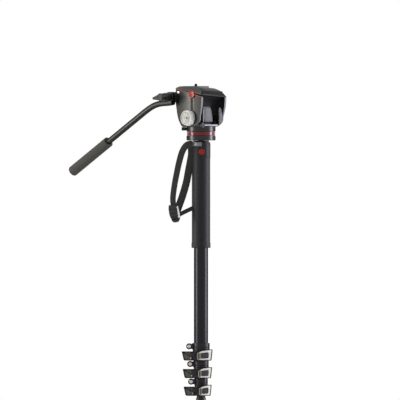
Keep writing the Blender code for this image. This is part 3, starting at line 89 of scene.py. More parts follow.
def filleted(points, radius=0.0, closed=True, steps=CORNER_STEPS):
    """A line of points with rounded corners; a third value is that corner's own radius."""
    made = []
    for i, point in enumerate(points):
        here = Vector(point[:2])
        size = point[2] if len(point) > 2 else radius
        if size <= 0 or (not closed and i in (0, len(points) - 1)):
            made.append(tuple(here))
            continue
        back = Vector(points[i - 1][:2]) - here
        ahead = Vector(points[(i + 1) % len(points)][:2]) - here
        cut = size / tan(back.angle(ahead) / 2)
        start = here + back.normalized() * min(cut, back.length / 2.02)
        end = here + ahead.normalized() * min(cut, ahead.length / 2.02)
        for k in range(steps + 1):
            t = k / steps
            made.append(tuple(start * (1 - t) ** 2 + here * 2 * t * (1 - t) + end * t ** 2))
    return made


def arc(centre, radius, start, end, steps):
    turns = [start + (end - start) * i / steps for i in range(steps + 1)]
    return [(centre[0] + radius * cos(t), centre[1] + radius * sin(t)) for t in turns]


def sphere_arc(radius, start, end, steps):
    """(radius, height) points on a sphere about the origin, by angle from +Z."""
    turns = [start + (end - start) * i / steps for i in range(steps + 1)]
    return [(radius * sin(t), radius * cos(t)) for t in turns]


def capsule(start, start_radius, end, end_radius, steps=24):
    """The outline of two circles and the straight sides that touch them both."""
    along = atan2(end[1] - start[1], end[0] - start[0])
    lean = acos((start_radius - end_radius) / hypot(end[0] - start[0], end[1] - start[1]))
    near = arc(start, start_radius, along + lean, along + 2 * pi - lean, steps)
    return near + arc(end, end_radius, along - lean, along + lean, steps)


def evened(points, count):
    """The same closed outline as points at even distances."""
    ends = points[1:] + points[:1]
    sides = [hypot(b[0] - a[0], b[1] - a[1]) for a, b in zip(points, ends)]
    made, i, passed = [], 0, 0.0
    for k in range(count):
        goal = sum(sides) * k / count
        while passed + sides[i] < goal:
            passed += sides[i]
            i += 1
        share = (goal - passed) / sides[i]
        made.append(tuple(a + (b - a) * share for a, b in zip(points[i], ends[i])))
    return made


def cog(radius, depth, count, steps=4):
    """A round outline with shallow grooves, for knurled rims."""
    made = []
    for i in range(count * steps):
        turn = 2 * pi * i / (count * steps)
        made.append((radius - depth * (1 - abs(cos(turn * count / 2))), turn))
    return [(r * cos(t), r * sin(t)) for r, t in made]


def smooth_line(points, step):
    """Even points on a smooth curve through the given ones."""
    places = [Vector(point) for point in points]
    places = [places[0] * 2 - places[1], *places, places[-1] * 2 - places[-2]]
    fine = []
    for a, b, c, d in zip(places, places[1:], places[2:], places[3:]):
        count = max(2, round((c - b).length / step))
        for k in range(count):
            t = k / count
            fine.append((b * 2 + (c - a) * t + (a * 2 - b * 5 + c * 4 - d) * t ** 2
                         + (b * 3 - a - c * 3 + d) * t ** 3) / 2)
    return fine + [places[-2]]


def closed(bm):
    bmesh.ops.remove_doubles(bm, verts=bm.verts, dist=FINE / 100)
    bmesh.ops.recalc_face_normals(bm, faces=bm.faces)
    return bm


def lathe(profile, steps=LATHE_STEPS):
    """A shape turned about Z from (radius, height) points; one that starts off the axis closes."""
    bm = bmesh.new()
    ring = [bm.verts.new((radius, 0, height)) for radius, height in profile]
    ends = ring[1:] + ring[:1] if profile[0][0] > 0 else ring[1:]
    edges = [bm.edges.new(pair) for pair in zip(ring, ends)]
    bmesh.ops.spin(
        bm, geom=ring + edges, cent=(0, 0, 0), axis=(0, 0, 1), dvec=(0, 0, 0),
        angle=2 * pi, steps=steps, use_merge=True, use_duplicate=False,
    )
    return closed(bm)


def turned(points, ease=FINE, steps=LATHE_STEPS, corner=CORNER_STEPS):
    """A lathe's shape with its corners eased."""
    return lathe(filleted(points, ease, points[0][0] > 0, corner), steps)


def prism(outline, low, high):
    """An outline in XY between two heights."""
    bm = bmesh.new()
    face = bm.faces.new([bm.verts.new((x, y, low)) for x, y in outline])
    grown = bmesh.ops.extrude_face_region(bm, geom=[face], use_keep_orig=True)["geom"]
    tops = [item for item in grown if isinstance(item, bmesh.types.BMVert)]
    bmesh.ops.translate(bm, vec=(0, 0, high - low), verts=tops)
    return closed(bm)


def skin(loops):
    """A skin through loops with the same number of points, closed at both ends."""
    bm = bmesh.new()
    rings = [[bm.verts.new(point) for point in loop] for loop in loops]
    edges = [[bm.edges.new(pair) for pair in zip(ring, ring[1:] + ring[:1])] for ring in rings]
    for lower, upper in zip(edges, edges[1:]):
        bmesh.ops.bridge_loops(bm, edges=lower + upper)
    bm.faces.new(rings[0])
    bm.faces.new(rings[-1])
    return closed(bm)


def soften(bm, width=EASE, segments=2, sharpest=radians(35)):
    """Rounds the edges that are sharper than an angle."""
    bm.normal_update()
    edges = [e for e in bm.edges if e.is_manifold and e.calc_face_angle() > sharpest]
    bmesh.ops.bevel(
        bm, geom=edges, offset=width, affect="EDGES", segments=segments, profile=0.5,
        material=-1, clamp_overlap=True,
    )
    return closed(bm)


def sunk(bm, facing, rim, depth):
    """Sinks the middle of the largest face that looks one way, inside a rim."""
    bm.normal_update()
    faces = [f for f in bm.faces if f.normal.dot(Vector(facing)) > 0.98]
    face = max(faces, key=lambda f: f.calc_area())
    bmesh.ops.inset_region(bm, faces=[face], thickness=rim, use_even_offset=True)
    bmesh.ops.inset_region(bm, faces=[face], thickness=abs(depth) / 2, depth=-depth)
    return bm


def moved(bm, matrix):
    bmesh.ops.transform(bm, matrix=matrix, verts=bm.verts)
    return bm


def gathered(*parts):
    """Several closed shells as one mesh."""
    whole = bmesh.new()
    for part in parts:
        mesh = bpy.data.meshes.new("part")
        part.to_mesh(mesh)
        part.free()
        whole.from_mesh(mesh)
        bpy.data.meshes.remove(mesh)
    return whole


def swept(points, radii, steps=SMALL_STEPS):
    """A round bar along 3-D points, with a radius at each."""
    bm = bmesh.new()
    ring = bmesh.ops.create_circle(bm, segments=steps, radius=1, cap_ends=True)["verts"]
    edges = bm.edges[:]
    heading, spot, size = Vector((0, 0, 1)), Vector((0, 0, 0)), 1.0
    for i, place in enumerate(points):
        run = (points[min(i + 1, len(points) - 1)] - points[max(i - 1, 0)]).normalized()
        if i:
            grown = bmesh.ops.extrude_edge_only(bm, edges=edges)["geom"]
            ring = [item for item in grown if isinstance(item, bmesh.types.BMVert)]
            edges = [item for item in grown if isinstance(item, bmesh.types.BMEdge)]
        turn = heading.rotation_difference(run).to_matrix().to_4x4()
        grow = Matrix.Scale(radii[i] / size, 4)
        bmesh.ops.transform(
            bm, matrix=Matrix.Translation(place) @ turn @ grow @ Matrix.Translation(-spot), verts=ring
        )
        heading, spot, size = run, place, radii[i]
    bmesh.ops.contextual_create(bm, geom=edges)
    return closed(bm)


def painted(bm, test, number=1):
    """Gives the faces that pass a test another of the piece's finishes."""
    bm.normal_update()
    for face in bm.faces:
        if test(face.calc_center_median(), face.normal):
            face.material_index = number
    return bm


def piece(name, bm, body, paints, nodes="", place=None):
    """A finished piece with its place in its mesh, riding on a body in the stead of some nodes."""
    if place is not None:
        moved(bm, place)
    mesh = bpy.data.meshes.new(name)
    bm.to_mesh(mesh)
    bm.free()
    for paint in paints.split():
        mesh.materials.append(PAINTS[paint])
    mesh.shade_smooth()
    mesh.set_sharp_from_angle(angle=SHARP_FROM)
    thing = bpy.data.objects.new(name, mesh)
    bpy.context.collection.objects.link(thing)
    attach(thing, body)
    if nodes:
        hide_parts(*nodes.split())
    return thing


def cut(bm, *cutters):
    """Takes closed shells out of a closed mesh."""
    body = bpy.data.objects.new("blank", bpy.data.meshes.new("blank"))
    bm.to_mesh(body.data)
    bm.free()
    bpy.context.collection.objects.link(body)
    tools = []
    for cutter in cutters:
        tool = bpy.data.objects.new("cutter", bpy.data.meshes.new("cutter"))
        cutter.to_mesh(tool.data)
        cutter.free()
        bpy.context.collection.objects.link(tool)
        step = body.modifiers.new("cut", "BOOLEAN")
        step.operation = "DIFFERENCE"
        step.object = tool
        tools.append(tool)
    graph = bpy.context.evaluated_depsgraph_get()
    made = bmesh.new()
    made.from_mesh(body.evaluated_get(graph).to_mesh())
    for thing in (body, *tools):
        mesh = thing.data
        bpy.data.objects.remove(thing)
        bpy.data.meshes.remove(mesh)
    return made


def box_of(node):
    low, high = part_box(node)
    return Vector(low), Vector(high)


# Finishes

SHEEN_PATCH = 14.0 * MM
SLOW_SPREAD = 0.08
FINE_SPREAD = 0.07
LACQUER_DEPTH = 0.003
COAT_ROUGHNESS = 0.1
RINGS_TO_SCALE = 3.2
BANDS_TO_SCALE = 6.28


def linear(code):
    """A colour written as sRGB hex, turned to linear."""
    values = [int(code[i:i + 2], 16) / 255 for i in (1, 3, 5)]
    return tuple(v / 12.92 if v <= 0.04045 else ((v + 0.055) / 1.055) ** 2.4 for v in values) + (1,)


def add(tree, kind, inputs=None, links=None, **settings):
    """Adds a node, fills its sockets and links other nodes' outputs to them."""
    made = tree.nodes.new(kind)
    for name, value in settings.items():
        setattr(made, name, value)
    for socket, value in (inputs or {}).items():
        made.inputs[socket].default_value = value
    for socket, output in (links or {}).items():
        tree.links.new(output, made.inputs[socket])
    return made


def finish(name, colour, roughness, metallic=0.0, specular=0.5):
    """A plain finish to build on: its material, node tree, shader and place on the object.

    Where it is metal, specular is the strength of its reflections seen at a slant."""
    paint = bpy.data.materials.new(name)
    paint.use_nodes = True
    tree = paint.node_tree
    shader = tree.nodes["Principled BSDF"]
    shader.inputs["Base Color"].default_value = linear(colour)
    shader.inputs["Roughness"].default_value = roughness
    shader.inputs["Metallic"].default_value = metallic
    if metallic:
        shader.inputs["Specular Tint"].default_value = (specular, specular, specular, 1)
    else:
        shader.inputs["Specular IOR Level"].default_value = specular
    return paint, tree, shader, tree.nodes.new("ShaderNodeTexCoord").outputs["Object"]


def relief(tree, shader, pattern, depth, strength=1.0, colours=()):
    """Lets a pattern stand up from a finish by a depth in millimetres, and mix its two colours."""
    bump = add(tree, "ShaderNodeBump", {"Strength": strength, "Distance": depth * MM}, {"Height": pattern})
    tree.links.new(bump.outputs["Normal"], shader.inputs["Normal"])
    if colours:
        low, high = colours
        mix = add(tree, "ShaderNodeMix", {6: linear(low), 7: linear(high)}, {0: pattern}, data_type="RGBA")
        tree.links.new(mix.outputs[2], shader.inputs["Base Color"])


def uneven(tree, shader, pattern, roughness, spread):
    """Lets a pattern vary a finish's roughness."""
    sheen = add(tree, "ShaderNodeMapRange",
                {"To Min": roughness - spread, "To Max": roughness + spread}, {"Value": pattern})
    tree.links.new(sheen.outputs["Result"], shader.inputs["Roughness"])


def grained(name, colour, roughness, grain, depth, metallic=0.0, specular=0.5, paler=None):
    """A finish with a fine even grain: bumps of one real size, and slow changes of sheen."""
    paint, tree, shader, place = finish(name, colour, roughness, metallic, specular)
    fine = add(tree, "ShaderNodeTexNoise", {"Scale": 1 / (grain * MM), "Detail": 2.0}, {"Vector": place})
    slow = add(tree, "ShaderNodeTexNoise", {"Scale": 1 / SHEEN_PATCH, "Detail": 3.0}, {"Vector": place})
    relief(tree, shader, fine.outputs["Fac"], depth, colours=(colour, paler) if paler else ())
    uneven(tree, shader, slow.outputs["Fac"], roughness, SLOW_SPREAD)
    return paint


def brushed(name, colour, roughness, grain, stretch, depth, metallic=1.0, specular=0.5):
    """A metal drawn or turned one way: a grain much longer along one axis than across it."""
    paint, tree, shader, place = finish(name, colour, roughness, metallic, specular)
    laid = add(tree, "ShaderNodeMapping", {"Scale": stretch}, {"Vector": place})
    fine = add(tree, "ShaderNodeTexNoise", {"Scale": 1 / (grain * MM), "Detail": 3.0},
               {"Vector": laid.outputs["Vector"]})
    relief(tree, shader, fine.outputs["Fac"], depth)
    uneven(tree, shader, fine.outputs["Fac"], roughness, FINE_SPREAD)
    return paint


def lacquered(name, colour, roughness, grain, coat):
    """A colour under clear lacquer: the colour stays deep and the highlights stay white."""
    paint = grained(name, colour, roughness, grain, LACQUER_DEPTH, specular=0.1)
    shader = paint.node_tree.nodes["Principled BSDF"]
    shader.inputs["Coat Weight"].default_value = coat
    shader.inputs["Coat Roughness"].default_value = COAT_ROUGHNESS
    return paint


def turned_metal(name, colour, darker, roughness, pitch, centre, turn, metallic):
    """Metal faced in a lathe: fine rings about the piece's own axis catch the light."""
    paint, tree, shader, place = finish(name, colour, roughness, metallic)
    laid = add(tree, "ShaderNodeMapping", {"Location": centre, "Rotation": turn},
               {"Vector": place}, vector_type="TEXTURE")
    rings = add(tree, "ShaderNodeTexWave",
                {"Scale": 1 / (pitch * MM) / RINGS_TO_SCALE, "Distortion": 0.4, "Detail": 1.0},
                {"Vector": laid.outputs["Vector"]}, wave_type="RINGS", rings_direction="Z")
    relief(tree, shader, rings.outputs["Fac"], 0.02, 0.6, (darker, colour))
    return paint


def woven(name, colour, paler, thread):
    """Webbing woven in nylon: ribs along it, crossed by finer threads, soft and dull."""
    paint, tree, shader, _ = finish(name, colour, 0.85, 0.0, 0.2)
    shader.inputs["Sheen Weight"].default_value = 0.25
    shader.inputs["Sheen Roughness"].default_value = 0.6
    laid = tree.nodes.new("ShaderNodeUVMap")
    laid.uv_map = "weave"
    ribs, weft = [add(tree, "ShaderNodeTexWave", {"Scale": 1 / (thread * MM) / BANDS_TO_SCALE},
                      {"Vector": laid.outputs["UV"]}, wave_type="BANDS", bands_direction=way)
                  for way in "XY"]
    weave = add(tree, "ShaderNodeMath", None, {0: ribs.outputs["Fac"], 1: weft.outputs["Fac"]},
                operation="MULTIPLY")
    relief(tree, shader, weave.outputs["Value"], 0.25, 1.0, (colour, paler))
    return paint


def stippled(name, colour, pitch):
    """Moulded rubber with a fine raised stipple that feels grippy and looks matt."""
    paint, tree, shader, place = finish(name, colour, 0.5, 0.0, 0.15)
    cells = add(tree, "ShaderNodeTexVoronoi", {"Scale": 1 / (pitch * MM)}, {"Vector": place})
    relief(tree, shader, cells.outputs["Distance"], 0.12, 0.7)
    return paint


def foamed(name, colour, darker, cell):
    """Closed-cell foam sleeve: skinned over, with fine pores that darken it unevenly."""
    paint, tree, shader, place = finish(name, colour, 0.85, 0.0, 0.25)
    cells = add(tree, "ShaderNodeTexVoronoi", {"Scale": 1 / (cell * MM)}, {"Vector": place})
    relief(tree, shader, cells.outputs["Distance"], 0.2, 0.9, (darker, colour))
    return paint


# Name, colour, roughness, grain and its depth in millimetres, metallic, specular, a paler grain
GRAINED = {
    # Electro-coated magnesium casting: black, a fine orange peel, broad soft highlights
    "casting": ("coated_magnesium_casting", "#2b2b2d", 0.4, 0.5, 0.008, 1.0, 0.35),
    # Polymer moulded over the clamp wings: brownish and dull in the recesses
    "recess": ("moulded_recess", "#57534e", 0.6, 0.5, 0.02, 0.0, 0.3),
    # Tilt housing: blasted and painted, it takes broad dull highlights
    "housing": ("bead_blasted_housing", "#26272a", 0.45, 0.4, 0.012, 0.0, 0.3),
    # A pale, dull paint for painted highlights: on the housing's camera-facing corners, on a crescent
    # inside the panels and on the buckle's right edge
    "flank": ("pale_painted_highlight", "#d8d8dc", 0.5, 0.4, 0.01, 0.0, 0.3),
    # The panels' front edges: a mid grey line painted on as a painted highlight
    "edge": ("panel_edge_painted_highlight", "#5c5d60", 0.5, 0.4, 0.01, 0.0, 0.3),
    # Side panels: fibre-filled polymer with a metal-flake warm grey coat; their insides and the housing's
    # undercut painted near black as painted shade
    "panel": ("warm_grey_coated_polymer", "#31312f", 0.36, 0.35, 0.01, 0.85, 0.4, "#3f3f3d"),
    "lining": ("near_black_painted_shade", "#141415", 0.5, 0.5, 0.02, 0.0, 0.15),
    # Die-cast deck: charcoal satin paint
    "deck": ("charcoal_satin_paint", "#333230", 0.46, 0.45, 0.012, 0.0, 0.25),
    # The deck's front slope: painted near black as painted shade, darker than the deck's paint where it
    # turns towards the eye
    "visor": ("visor_painted_shade", "#101011", 0.4, 0.45, 0.004, 0.0, 0.12),
    # Moulded knobs and levers: black with a fine spark-eroded grain
    "knob": ("moulded_black_polymer", "#171718", 0.42, 0.6, 0.015, 0.0, 0.25),
    # Rubbers: the bluish thumb pads and the matt leg tips
    "pad": ("moulded_pad_rubber", "#34343b", 0.6, 0.5, 0.03, 0.0, 0.3),
    "foot": ("leg_tip_rubber", "#1c1c1c", 0.75, 0.7, 0.05, 0.0, 0.2),
    "buckle": ("moulded_buckle", "#232324", 0.4, 0.5, 0.015, 0.0, 0.35),
    "bracket": ("bead_blasted_bracket", "#6c6d70", 0.5, 0.4, 0.01, 0.3),
    "seam": ("red_seam_paint", "#93382e", 0.5, 0.5, 0.01),
    # The dial's rim: near white, a painted highlight on its side
    "dial_rim": ("dial_rim_painted_highlight", "#f4f4f0", 0.42, 0.4, 0.004, 0.2),
    # Plated bezels: a warm satin silver; the hinge end painted darker and duller as painted shade
    "bezel": ("satin_champagne_bezel", "#c4c1b8", 0.44, 0.4, 0.006, 0.9, 0.8),
    "bezel_end": ("dull_bezel_end", "#76726b", 0.55, 0.4, 0.006, 0.6, 0.8),
    # The bezel's slot: a dark brown prism, painted shade standing in for the slot's depth
    "slot": ("dark_bezel_slot", "#4c3f38", 0.6, 0.5, 0.01, 0.0, 0.2),
    "nylon": ("low_friction_nylon", "#5b5b5d", 0.5, 0.6, 0.01),
}
ALONG_POLE = (1.0, 1.0, 0.02)
ABOUT_POLE = (1, 1, 0.05)
ALONG_BAR = (0.05, 0.05, 1)
# Name, colour, roughness, grain in millimetres, its stretch, its depth, metallic, specular
BRUSHED = {
    # Black anodised aluminium tube, drawn lengthwise: nearly black with tight highlights
    "tube": ("black_anodised_tube", "#29292b", 0.31, 0.5, ALONG_POLE, 0.0004, 1.0, 0.25),
    # Black anodised and turned: the pan discs, a little paler and just as tight
    "disc": ("black_anodised_disc", "#343435", 0.3, 0.5, ABOUT_POLE, 0.002),
    # The pedestal's sides and chamfers: a paler grey as painted highlight
    "machined": ("pedestal_sides_painted_highlight", "#5c5c60", 0.42, 0.4, ABOUT_POLE, 0.003, 0.6),
    "plate": ("black_anodised_plate", "#2f2f2f", 0.4, 0.5, (0.03, 1, 1), 0.004),
    "bar": ("dark_anodised_bar", "#323231", 0.32, 0.5, ALONG_BAR, 0.0006),
    "leg": ("black_anodised_leg", "#2a2a2c", 0.34, 0.5, ALONG_BAR, 0.003),
    # Small turned parts: bright or blackened steel, and the levers' copper-coloured pins
    "steel": ("satin_steel", "#b4b4b2", 0.34, 0.4, ABOUT_POLE, 0.003),
    "dark_steel": ("blackened_steel", "#3a3a3a", 0.38, 0.4, ABOUT_POLE, 0.003),
    "copper": ("copper_pin", "#6e645a", 0.4, 0.4, ALONG_POLE, 0.003),
}
PAINTS = {
    **{key: grained(*row) for key, row in GRAINED.items()},
    **{key: brushed(*row) for key, row in BRUSHED.items()},
    "rubber": stippled("stippled_grip_rubber", "#1c1c1e", 0.7),
    "foam": foamed("foam_sleeve", "#454440", "#2e2d2b", 0.9),
    "webbing": woven("nylon_webbing", "#1a1a18", "#2e2e2b", 1.1),
    # Red anodising under clear lacquer: deep red with white highlights
    "red": lacquered("red_lacquered_ring", "#5c0716", 0.35, 0.4, 0.5),
    "badge": lacquered("red_enamel", "#8c1a18", 0.4, 1.5, 0.25),
    "silver": turned_metal("turned_silver_dial", "#a3a4a0", "#7f807d", 0.5, 0.9, (0, 0, TILT_HEIGHT),
                           (pi / 2, 0, HEAD_YAW), 0.55),
}


# The pole

BUSH_WALL = 1.5 * MM
TUBE_WALL = 1.2 * MM
TUBE_BODIES = {"upper_tube": "section_1", "second_tube": "section_2", "third_tube": "section_3",
               "fourth_tube": "section_4"}


def make_tubes():
    for node, body in TUBE_BODIES.items():
        low, high = box_of(node)
        tube = turned(corners(high.x - TUBE_WALL, high.z, high.x, low.z))
        piece(f"{node}_skin", tube, body, "tube", node)
    for node, body in list(TUBE_BODIES.items())[1:]:
        node = node.replace("tube", "tube_bush")
        low, high = box_of(node)
        bush = turned(corners(high.x - BUSH_WALL, high.z, high.x, low.z), EASE)
        piece(f"{node}_ring", bush, body, "nylon", node)


# The clamps

CLAMP_WALL = 3.3 * MM
BAND_HEIGHT = 13.4 * MM
BAND_STEP = 0.8 * MM
BAND_GROOVE = 10.0 * MM
GROOVE_DEPTH = 0.5 * MM
GROOVE_HALF = 0.5 * MM
BOSS_OUT = 6.4 * MM
BOSS_RADIUS = 6.3 * MM
BOSS_DROP = 6.8 * MM
BOSS_BACK = 1.0 * MM
BOSS_FRONT = 10.8 * MM
BOSS_NECK = 5.0 * MM
BOSS_SPAN = (radians(60), radians(300))
SCREW_RADIUS = 3.7 * MM
SHANK_RADIUS = SCREW_RADIUS * 0.6
SCREW_HEAD = 2.2 * MM
SCREW_SOCKET = 1.7 * MM
SOCKET_EDGE = 0.35 * SCREW_HEAD
SOCKET_FLOOR = 0.2 * SCREW_HEAD
WING_ROOT_SHARE = 0.5
WING_TOP = 17.1 * MM
WING_OUT = 21.9 * MM
WING_THICK = 4.0 * MM
WING_SET_BACK = 4.5 * MM
WING_SLANT = 4.2 * MM
WING_RIM = 1.3 * MM
WING_SINK = 1.1 * MM
WING_FLOOR = 0.6 * WING_SINK
PIN_RADIUS = 2.1 * MM
KNUCKLE_RADIUS = 4.0 * MM
KNUCKLE_HEIGHT = 8.2 * MM
EAR_TOP = 17.5 * MM
EAR_THICK = 2.8 * MM
EAR_ROOT_SHARE = 0.55
FACE_OUT = 7.0 * MM
LEFT_SET = 8.9 * MM
FACE_SLANT = 7.4 * MM
REACH_SET = 15.35 * MM
LEVER_THICK = 4.6 * MM
LEVER_ROOT_OUT = 5.2 * MM
LEVER_ROOT_TOP = 18.6 * MM
LEVER_CORNER = 2.4 * MM
HOLLOW_SPAN = (radians(-116), radians(-72))
SLOPE_DROPS = (19.8 * MM, 14.6 * MM, 12.7 * MM)
SLOPE_BREAK = 0.38
FACE_DRAWN = 2.6 * MM
BEZEL_INSET = 1.3 * MM
BEZEL_THICK = 1.1 * MM
BEZEL_SHOULDER = 0.55 * BEZEL_THICK
BEZEL_DRAWN = 0.965
BEZEL_CORNER = 1.8 * MM
WINDOW_CORNER = 2.6 * MM
BEZEL_RISE = 1.9 * MM
BEZEL_POINTS = 112
BEZEL_SHADE = 0.2
PAD_RISE = 2.2 * BEZEL_THICK
SLOT_RISE = BEZEL_THICK + 0.6 * BEZEL_RISE
# Places on a lever's face: shares of its length with drops from the clamp's top, then with rises
WINDOW = (((0.26, 20.4), (0.74, 18.6)), ((0.72, 5.0), (0.26, 3.9)))
PAD = (((0.28, 21.0), (0.72, 19.2)), ((0.70, 5.6), (0.28, 4.5)))
# The same with millimetres along the face
SLOT = (((2.6, 22.2), (4.7, 21.6)), ((4.7, 4.2), (2.6, 4.2)))


def clamp_facts(number):
    """The clamp's top and bottom, its radius and its lever pin's place, read off the frame."""
    low, high = box_of(f"clamp_{number}_collar")
    pin_low, pin_high = box_of(f"clamp_{number}_pin")
    return high.z, low.z, high.y, (pin_low + pin_high) / 2


def make_collar(number):
    top, bottom, radius, pin = clamp_facts(number)
    body = f"section_{number}"
    waist = radius - BAND_STEP
    bore = radius - CLAMP_WALL + BAND_STEP / 2
    groove = top - BAND_GROOVE
    band = top - BAND_HEIGHT
    ring = turned([
        (bore, top), (radius, top), (radius, groove + GROOVE_HALF), (radius - GROOVE_DEPTH, groove),
        (radius, groove - GROOVE_HALF), (radius, band), (waist, band - BAND_STEP), (waist, bottom),
        (bore, bottom),
    ], FINE * 2, corner=3)

    across, height = -(radius + BOSS_OUT), top - BOSS_DROP
    root = -radius + CLAMP_WALL
    outline = arc((across, height), BOSS_RADIUS, *BOSS_SPAN, 40)
    outline += [(root, height - BOSS_NECK), (root, height + BOSS_NECK)]
    boss = moved(soften(prism(outline, BOSS_BACK, BOSS_FRONT), EASE * 1.6, 3), SIDEWAYS)

    def clear(part):
        """The part without what would stand in the clamp's bore."""
        return cut(part, lathe(corners(0, bottom - MM, bore, top + MM)))

    front = radius - WING_SET_BACK
    left = -(radius + WING_OUT)
    outline = filleted([
        (-radius * WING_ROOT_SHARE, top - WING_TOP, EASE), (left, top - WING_TOP, EASE * 2),
        (left + WING_SLANT, bottom, WING_SLANT), (-radius * WING_ROOT_SHARE, bottom, EASE),
    ])
    wing = soften(prism(outline, front - WING_THICK, front), EASE)
    wing = moved(sunk(wing, (0, 0, 1), WING_RIM, WING_SINK), SIDEWAYS)
    wing = painted(clear(wing), lambda centre, normal: centre.y > WING_FLOOR - front and normal.y < -0.98)

    ears = []
    for low in (top - EAR_TOP - EAR_THICK, bottom):
        ear = capsule(pin.xy, KNUCKLE_RADIUS, pin.xy * EAR_ROOT_SHARE, KNUCKLE_RADIUS)
        ears.append(clear(soften(prism(ear, low, low + EAR_THICK), EASE)))
    piece(f"clamp_{number}_casting", gathered(ring, boss, wing, *ears), body, "casting recess",
          f"clamp_{number}_collar")

    seat = BOSS_FRONT + FINE
    head = filleted([(SCREW_RADIUS, seat), (SCREW_RADIUS, seat + SCREW_HEAD),
                     (SCREW_SOCKET, seat + SCREW_HEAD)], EASE * 1.6, False)
    screw = [(0, BOSS_BACK), (SHANK_RADIUS, BOSS_BACK), (SHANK_RADIUS, seat), *head,
             (SCREW_SOCKET, seat + SOCKET_EDGE), (0, seat + SOCKET_FLOOR)]
    piece(f"clamp_{number}_socket_screw", lathe(screw, SMALL_STEPS), body, "steel",
          f"clamp_{number}_screw", at(across, 0, height) @ SIDEWAYS)

    pin_low, pin_high = box_of(f"clamp_{number}_pin")
    rod = turned(corners(0, pin_low.z, PIN_RADIUS, pin_high.z), FINE, SMALL_STEPS)
    piece(f"clamp_{number}_hinge_pin", rod, body, "copper", f"clamp_{number}_pin",
          at(pin.x, pin.y, 0))


def face_outline(top, bottom, long, inset):
    """The lever's face seen square on: slanted at the top, drawn in to the right below."""
    right = long - 2 * inset
    start, middle, end = SLOPE_DROPS
    return [
        (inset, top - start - inset * 0.5), (long * SLOPE_BREAK, top - middle - inset),
        (right, top - end - inset), (right - FACE_DRAWN, bottom + inset), (inset, bottom + inset),
    ]


def on_paddle(top, bottom, long, places, corner, steps=CORNER_STEPS):
    """A rounded outline on the lever's face, from one of its tables of places."""
    upper, lower = places
    outline = [(long * share, top - drop * MM) for share, drop in upper]
    outline += [(long * share, bottom + rise * MM) for share, rise in lower]
    return filleted(outline, corner, steps=steps)


def make_lever(number):
    top, bottom, radius, pin = clamp_facts(number)
    body = f"lever_{number}"
    face = radius + FACE_OUT
    start = LEFT_SET - radius
    reach = radius / 2 + REACH_SET
    long = hypot(reach - start, FACE_SLANT)
    yaw = atan2(FACE_SLANT, reach - start)
    on_face = at(start, -face, 0) @ Matrix.Rotation(yaw, 4, "Z") @ SIDEWAYS

    paddle = prism(filleted(face_outline(top, bottom, long, 0), LEVER_CORNER), -LEVER_THICK, 0)
    paddle = moved(soften(paddle, EASE * 1.2, 3), on_face)
    left = pin.x + LEVER_ROOT_OUT
    hollow = arc((0, 0), radius + EASE * 1.2, *HOLLOW_SPAN, 16)
    root = [(left, pin.y - KNUCKLE_RADIUS / 2), *hollow, (hollow[-1][0], -face + LEVER_THICK),
            (start + EASE, -face + EASE), (left, -face + LEVER_ROOT_OUT / 2)]
    root = soften(prism(root, bottom + EASE, top - LEVER_ROOT_TOP), EASE, 2)
    low = top - EAR_TOP - EAR_THICK - FINE - KNUCKLE_HEIGHT
    barrel = capsule(pin.xy, KNUCKLE_RADIUS, (left + EASE * 4, (pin.y - face) / 2), KNUCKLE_RADIUS * 0.8)
    barrel = soften(prism(barrel, low, low + KNUCKLE_HEIGHT), EASE)
    piece(f"clamp_{number}_lever_body", gathered(paddle, root, barrel), body, "casting",
          f"clamp_{number}_lever")

    outer = filleted(face_outline(top, bottom, long, BEZEL_INSET), BEZEL_CORNER, steps=7)
    window = on_paddle(top, bottom, long, WINDOW, WINDOW_CORNER, 9)
    ring = bezel_ring(evened(outer, BEZEL_POINTS), evened(window, BEZEL_POINTS))
    # The hinge end painted darker: painted shade
    painted(ring, lambda centre, normal: centre.x < long * BEZEL_SHADE)
    piece(f"clamp_{number}_bezel_plate", ring, body, "bezel bezel_end", f"clamp_{number}_bezel",
          on_face @ at(0, 0, FINE))

    pad = on_paddle(top, bottom, long, PAD, LEVER_CORNER)
    piece(f"clamp_{number}_thumb_pad", soften(prism(pad, 0, PAD_RISE), ROUND, 4), body, "pad",
          place=on_face)
    # A dark prism on the face: painted shade for the slot
    slot = on_paddle(top, bottom, MM, SLOT, EASE)
    piece(f"clamp_{number}_bezel_slot", prism(slot, 0, SLOT_RISE), body, "slot", place=on_face)


def bezel_ring(outer, window):
    """A plate between two outlines, its outer rim rounded over and its face arched lengthwise."""
    bm = bmesh.new()
    middle = Vector((sum(x for x, _ in window), sum(y for _, y in window))) / len(window)
    loops = []
    for outline, height, drawn in ((outer, 0, 1.0), (outer, BEZEL_SHOULDER, 1.0),
                                   (outer, BEZEL_THICK, BEZEL_DRAWN), (window, BEZEL_THICK, 1.0),
                                   (window, 0, 1.0)):
        loops.append([bm.verts.new(((x - middle.x) * drawn + middle.x, (y - middle.y) * drawn + middle.y,
                                    height)) for x, y in outline])
    for one, other in zip(loops, loops[1:] + loops[:1]):
        for k in range(len(one)):
            bm.faces.new((one[k - 1], one[k], other[k], other[k - 1]))
    left, right = min(x for x, _ in outer), max(x for x, _ in outer)
    for vert in bm.verts:
        if vert.co.z > BEZEL_THICK / 3:
            vert.co.z += BEZEL_RISE * (1 - ((vert.co.x * 2 - left - right) / (right - left)) ** 2)
    return closed(bm)


# Hand grip and strap

